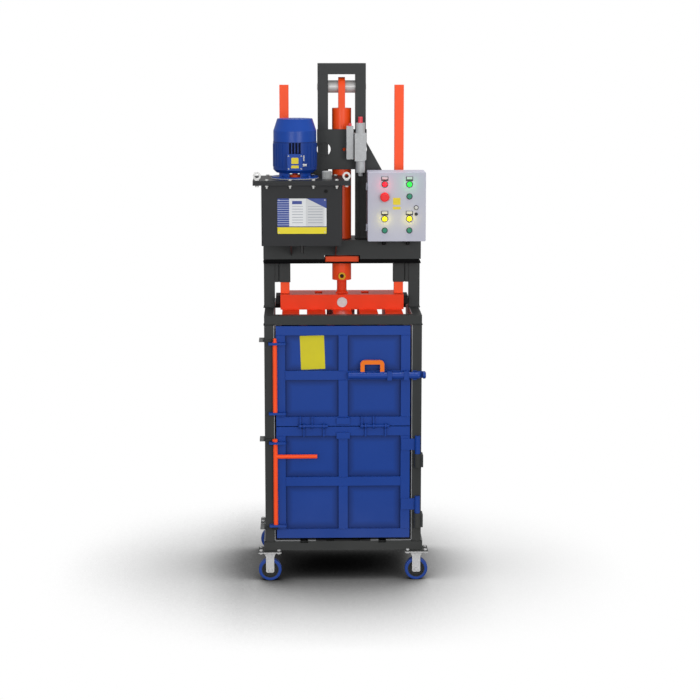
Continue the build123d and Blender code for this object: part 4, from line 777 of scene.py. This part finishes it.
box_grey = powder_coat("control_box_grey", tone(184, 185, 200), 0.45)
hinge_width = 0.0078
door_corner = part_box("cabinet_door")[0]
box_grey.darken(box_grey.x < door_corner.x + hinge_width, 0.45)
dress(box_grey, "cabinet_body", "cabinet_door")
dress(bright_zinc, "cabinet_lock")
dress(nylon_black, "cabinet_glands")

stop_red = moulded("stop_button_plastic", tone(255, 22, 34), 0.3, clouds=(80.0, 2.0), contrast=-0.08,
                   gloss=0.08, relief=(0.05, 0.0003, 0.0005))
dress(stop_red, "stop_button")

lamp_low, lamp_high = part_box("lamp_lenses")
lamp_radius = 0.011
lamp_mid_x = (lamp_low.x + lamp_high.x) / 2
lamp_mid_z = (lamp_low.z + lamp_high.z) / 2
lamp_reach_x = (lamp_high.x - lamp_low.x) / 2 - lamp_radius
lamp_reach_z = (lamp_high.z - lamp_low.z) / 2 - lamp_radius

legend_lift = 0.0268
legend_half_width = 0.0122
legend_half_height = 0.0054
fittings = moulded("control_fittings", tone(30, 30, 32), 0.35, clouds=(120.0, 3.0), contrast=0.4, gloss=0.12,
                   relief=(0.05, 0.0003, 0.0005))
beside_legend = abs(abs(fittings.x - lamp_mid_x) - lamp_reach_x)
above_legend = abs(abs(fittings.z - lamp_mid_z - legend_lift) - lamp_reach_z)
legend = (beside_legend < legend_half_width) * (above_legend < legend_half_height)
fittings.paint(legend, tone(196, 198, 204))
dress(fittings, "cabinet_fittings")

button_green = moulded("button_green", tone(36, 140, 112), 0.3, clouds=(100.0, 2.0), contrast=-0.15,
                       gloss=0.1, relief=(0.04, 0.0003, 0.0005))
dress(button_green, "push_button_1", "push_button_2", "push_button_3")

lamp_red, lamp_green, lamp_yellow = tone(246, 30, 50), tone(40, 226, 70), tone(250, 232, 30)
lens = Finish("lamp_lens", tone(250, 230, 40), 0.2)
lens.set("Emission Strength", 0.75)
ribs = lens.grain(300.0, 1.0)
upper_row = lens.mix(lens.x > lamp_mid_x, lamp_red, lamp_green)
lit = lens.shade(lens.mix(lens.z > lamp_mid_z, lamp_yellow, upper_row), -0.15, ribs)
lens.set("Base Color", lit)
lens.set("Emission Color", lit)
lens.set("Roughness", 0.15 + ribs * 0.1)
lens.relief(ribs, 0.05, 0.0003, 0.0005)
dress(lens, "lamp_lenses")

glow_ahead = 0.01
for side, rise, color in ((-1, 1, lamp_red), (1, 1, lamp_green), (-1, -1, lamp_yellow), (1, -1, lamp_yellow)):
    glow_data = bpy.data.lights.new("lamp_glow", "POINT")
    glow_data.color = color
    glow_data.energy = 0.034
    glow_data.shadow_soft_size = 0.008
    glow_light = bpy.data.objects.new("lamp_glow", glow_data)
    glow_light.location = (lamp_mid_x + side * lamp_reach_x, lamp_low.y - glow_ahead,
                           lamp_mid_z + rise * lamp_reach_z)
    scene.collection.objects.link(glow_light)
    glow_light.parent = frame["bodies"]["cabinet_front"]

patch_x = middle_x + 0.2315
plate("control_patch", (patch_x, door_corner.y, 1.664), width=0.032, height=0.03, thick=0.0005,
      radius=0.003, finish=patch_yellow, body="cabinet_front")
plate("control_strip", (patch_x, door_corner.y, 1.635), width=0.034, height=0.012, thick=0.0005,
      radius=0.002, finish=patch_yellow, body="cabinet_front")

# Doors: frames welded of square tube with recessed sheets, stop blocks and clips, all in one glossy blue
# coat that lets the seams at the corners show. The hinge halves on the post are sprayed with the posts.

door_tone = tone(14, 61, 146)
door_blue = powder_coat("door_blue_coat", door_tone, 0.4, dust=0.12, coat=0.05)
dress(door_blue, "lower_door_frame", "lower_door_fittings", "flap_frame", "flap_fittings")
dress(anthracite, "door_hinges")


def panel_blue(name, frame_node, mid_z, panel_node):
    """The coat on a door's recessed sheets: darker along their edges, where the tubes shade them."""
    low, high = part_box(frame_node)
    finish = powder_coat(name, door_tone, 0.42, dust=0.12)
    shade_width = 0.032
    overlap = 0.003
    pane_half = ((high.x - low.x) / 2 - 1.5 * tube) / 2
    beside = pane_half - abs(abs(finish.x - middle_x) - tube / 2 - pane_half)
    shaded = 0.0
    for bottom, top in ((low.z + tube, mid_z), (mid_z + tube, high.z - tube)):
        above = (top - bottom) / 2 - abs(finish.z - (top + bottom) / 2)
        inside = above > -overlap
        nearest = beside.math("MINIMUM", beside, above)
        fade = finish.node("ShaderNodeMapRange", {"Value": nearest, "From Min": shade_width, "From Max": 0.0})
        shaded = inside * fade + shaded
    finish.darken(shaded, 0.45)
    dress(finish, panel_node)


lower_rail_z = 0.427
flap_rail_z = 0.897
panel_blue("lower_door_sheet", "lower_door_frame", lower_rail_z, "lower_door_panels")
panel_blue("flap_sheet", "flap_frame", flap_rail_z, "flap_panels")


def door_runs(node, mid_z):
    """The seams on a door's front where its rails and stiles meet."""
    low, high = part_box(node)
    weld_sunk = 0.0006
    face_y = low.y + weld_sunk
    runs = []
    for z in (low.z + tube, high.z - tube):
        for x in (low.x, high.x - tube, middle_x - tube / 2):
            runs.append(((x, face_y, z), (x + tube, face_y, z)))
    for x in (low.x + tube, high.x - tube):
        runs.append(((x, face_y, mid_z), (x, face_y, mid_z + tube)))
    for z in (mid_z, mid_z + tube):
        runs.append(((middle_x - tube / 2, face_y, z), (middle_x + tube / 2, face_y, z)))
    return runs


lower_runs = door_runs("lower_door_frame", lower_rail_z)
flap_runs = door_runs("flap_frame", flap_rail_z)
weld("lower_door_welds", lower_runs, door_blue, "lower_door", "blue_paint", width=0.004)
weld("flap_welds", flap_runs, door_blue, "flap", "blue_paint", width=0.004)

# Bolt: a round steel bar in blue enamel with an orange grip welded on top. It slides on the flap into a
# receiver that is welded to the right post and sprayed with the doors.

bolt_blue = powder_coat("bolt_blue_enamel", tone(16, 62, 150), 0.3, coat=0.3)
grip_z = 0.936
bolt_blue.paint(bolt_blue.z > grip_z, tone(248, 122, 20))
dress(bolt_blue, "flap_bolt")
dress(door_blue, "bolt_receiver")

# Locks: two enamelled round rods in the doors' blue clips, the lower one turned by its handle, the upper
# one slid. They rest in keepers welded to the left post, whose ends are worn bright. The lower rod is
# bare and dark where it leaves its lower clip.

lock_red = powder_coat("lock_red_enamel", tone(255, 84, 34), 0.38)
lock_red.paint(lock_red.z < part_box("lower_door_fittings")[0].z, tone(40, 42, 44))
dress(lock_red, "lock_rod_lower")
dress(bright_red, "lock_rod_upper")

keeper_coat = powder_coat("keeper_coat", tone(46, 48, 48), 0.4)
worn_from = 0.006
keeper_coat.paint(keeper_coat.x < post_low.x - worn_from, tone(112, 113, 112))
dress(keeper_coat, "lock_keepers")

# Card: a yellow sheet of stiff plastic in A6 size, glued a little askew to the flap's upper left sheet.
# It has faded unevenly.

card_yellow = moulded("card_yellow", tone(222, 210, 0), 0.36, clouds=(25.0, 3.0), contrast=-0.1, gloss=0.1,
                      relief=(0.04, 0.0004, 0.0003))
card_place = (middle_x - 0.132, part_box("flap_panels")[0].y, 1.0155)
plate("flap_card", card_place, width=0.105, height=0.148, thick=0.0008, radius=0.003, finish=card_yellow,
      body="flap", turn=math.radians(-2))
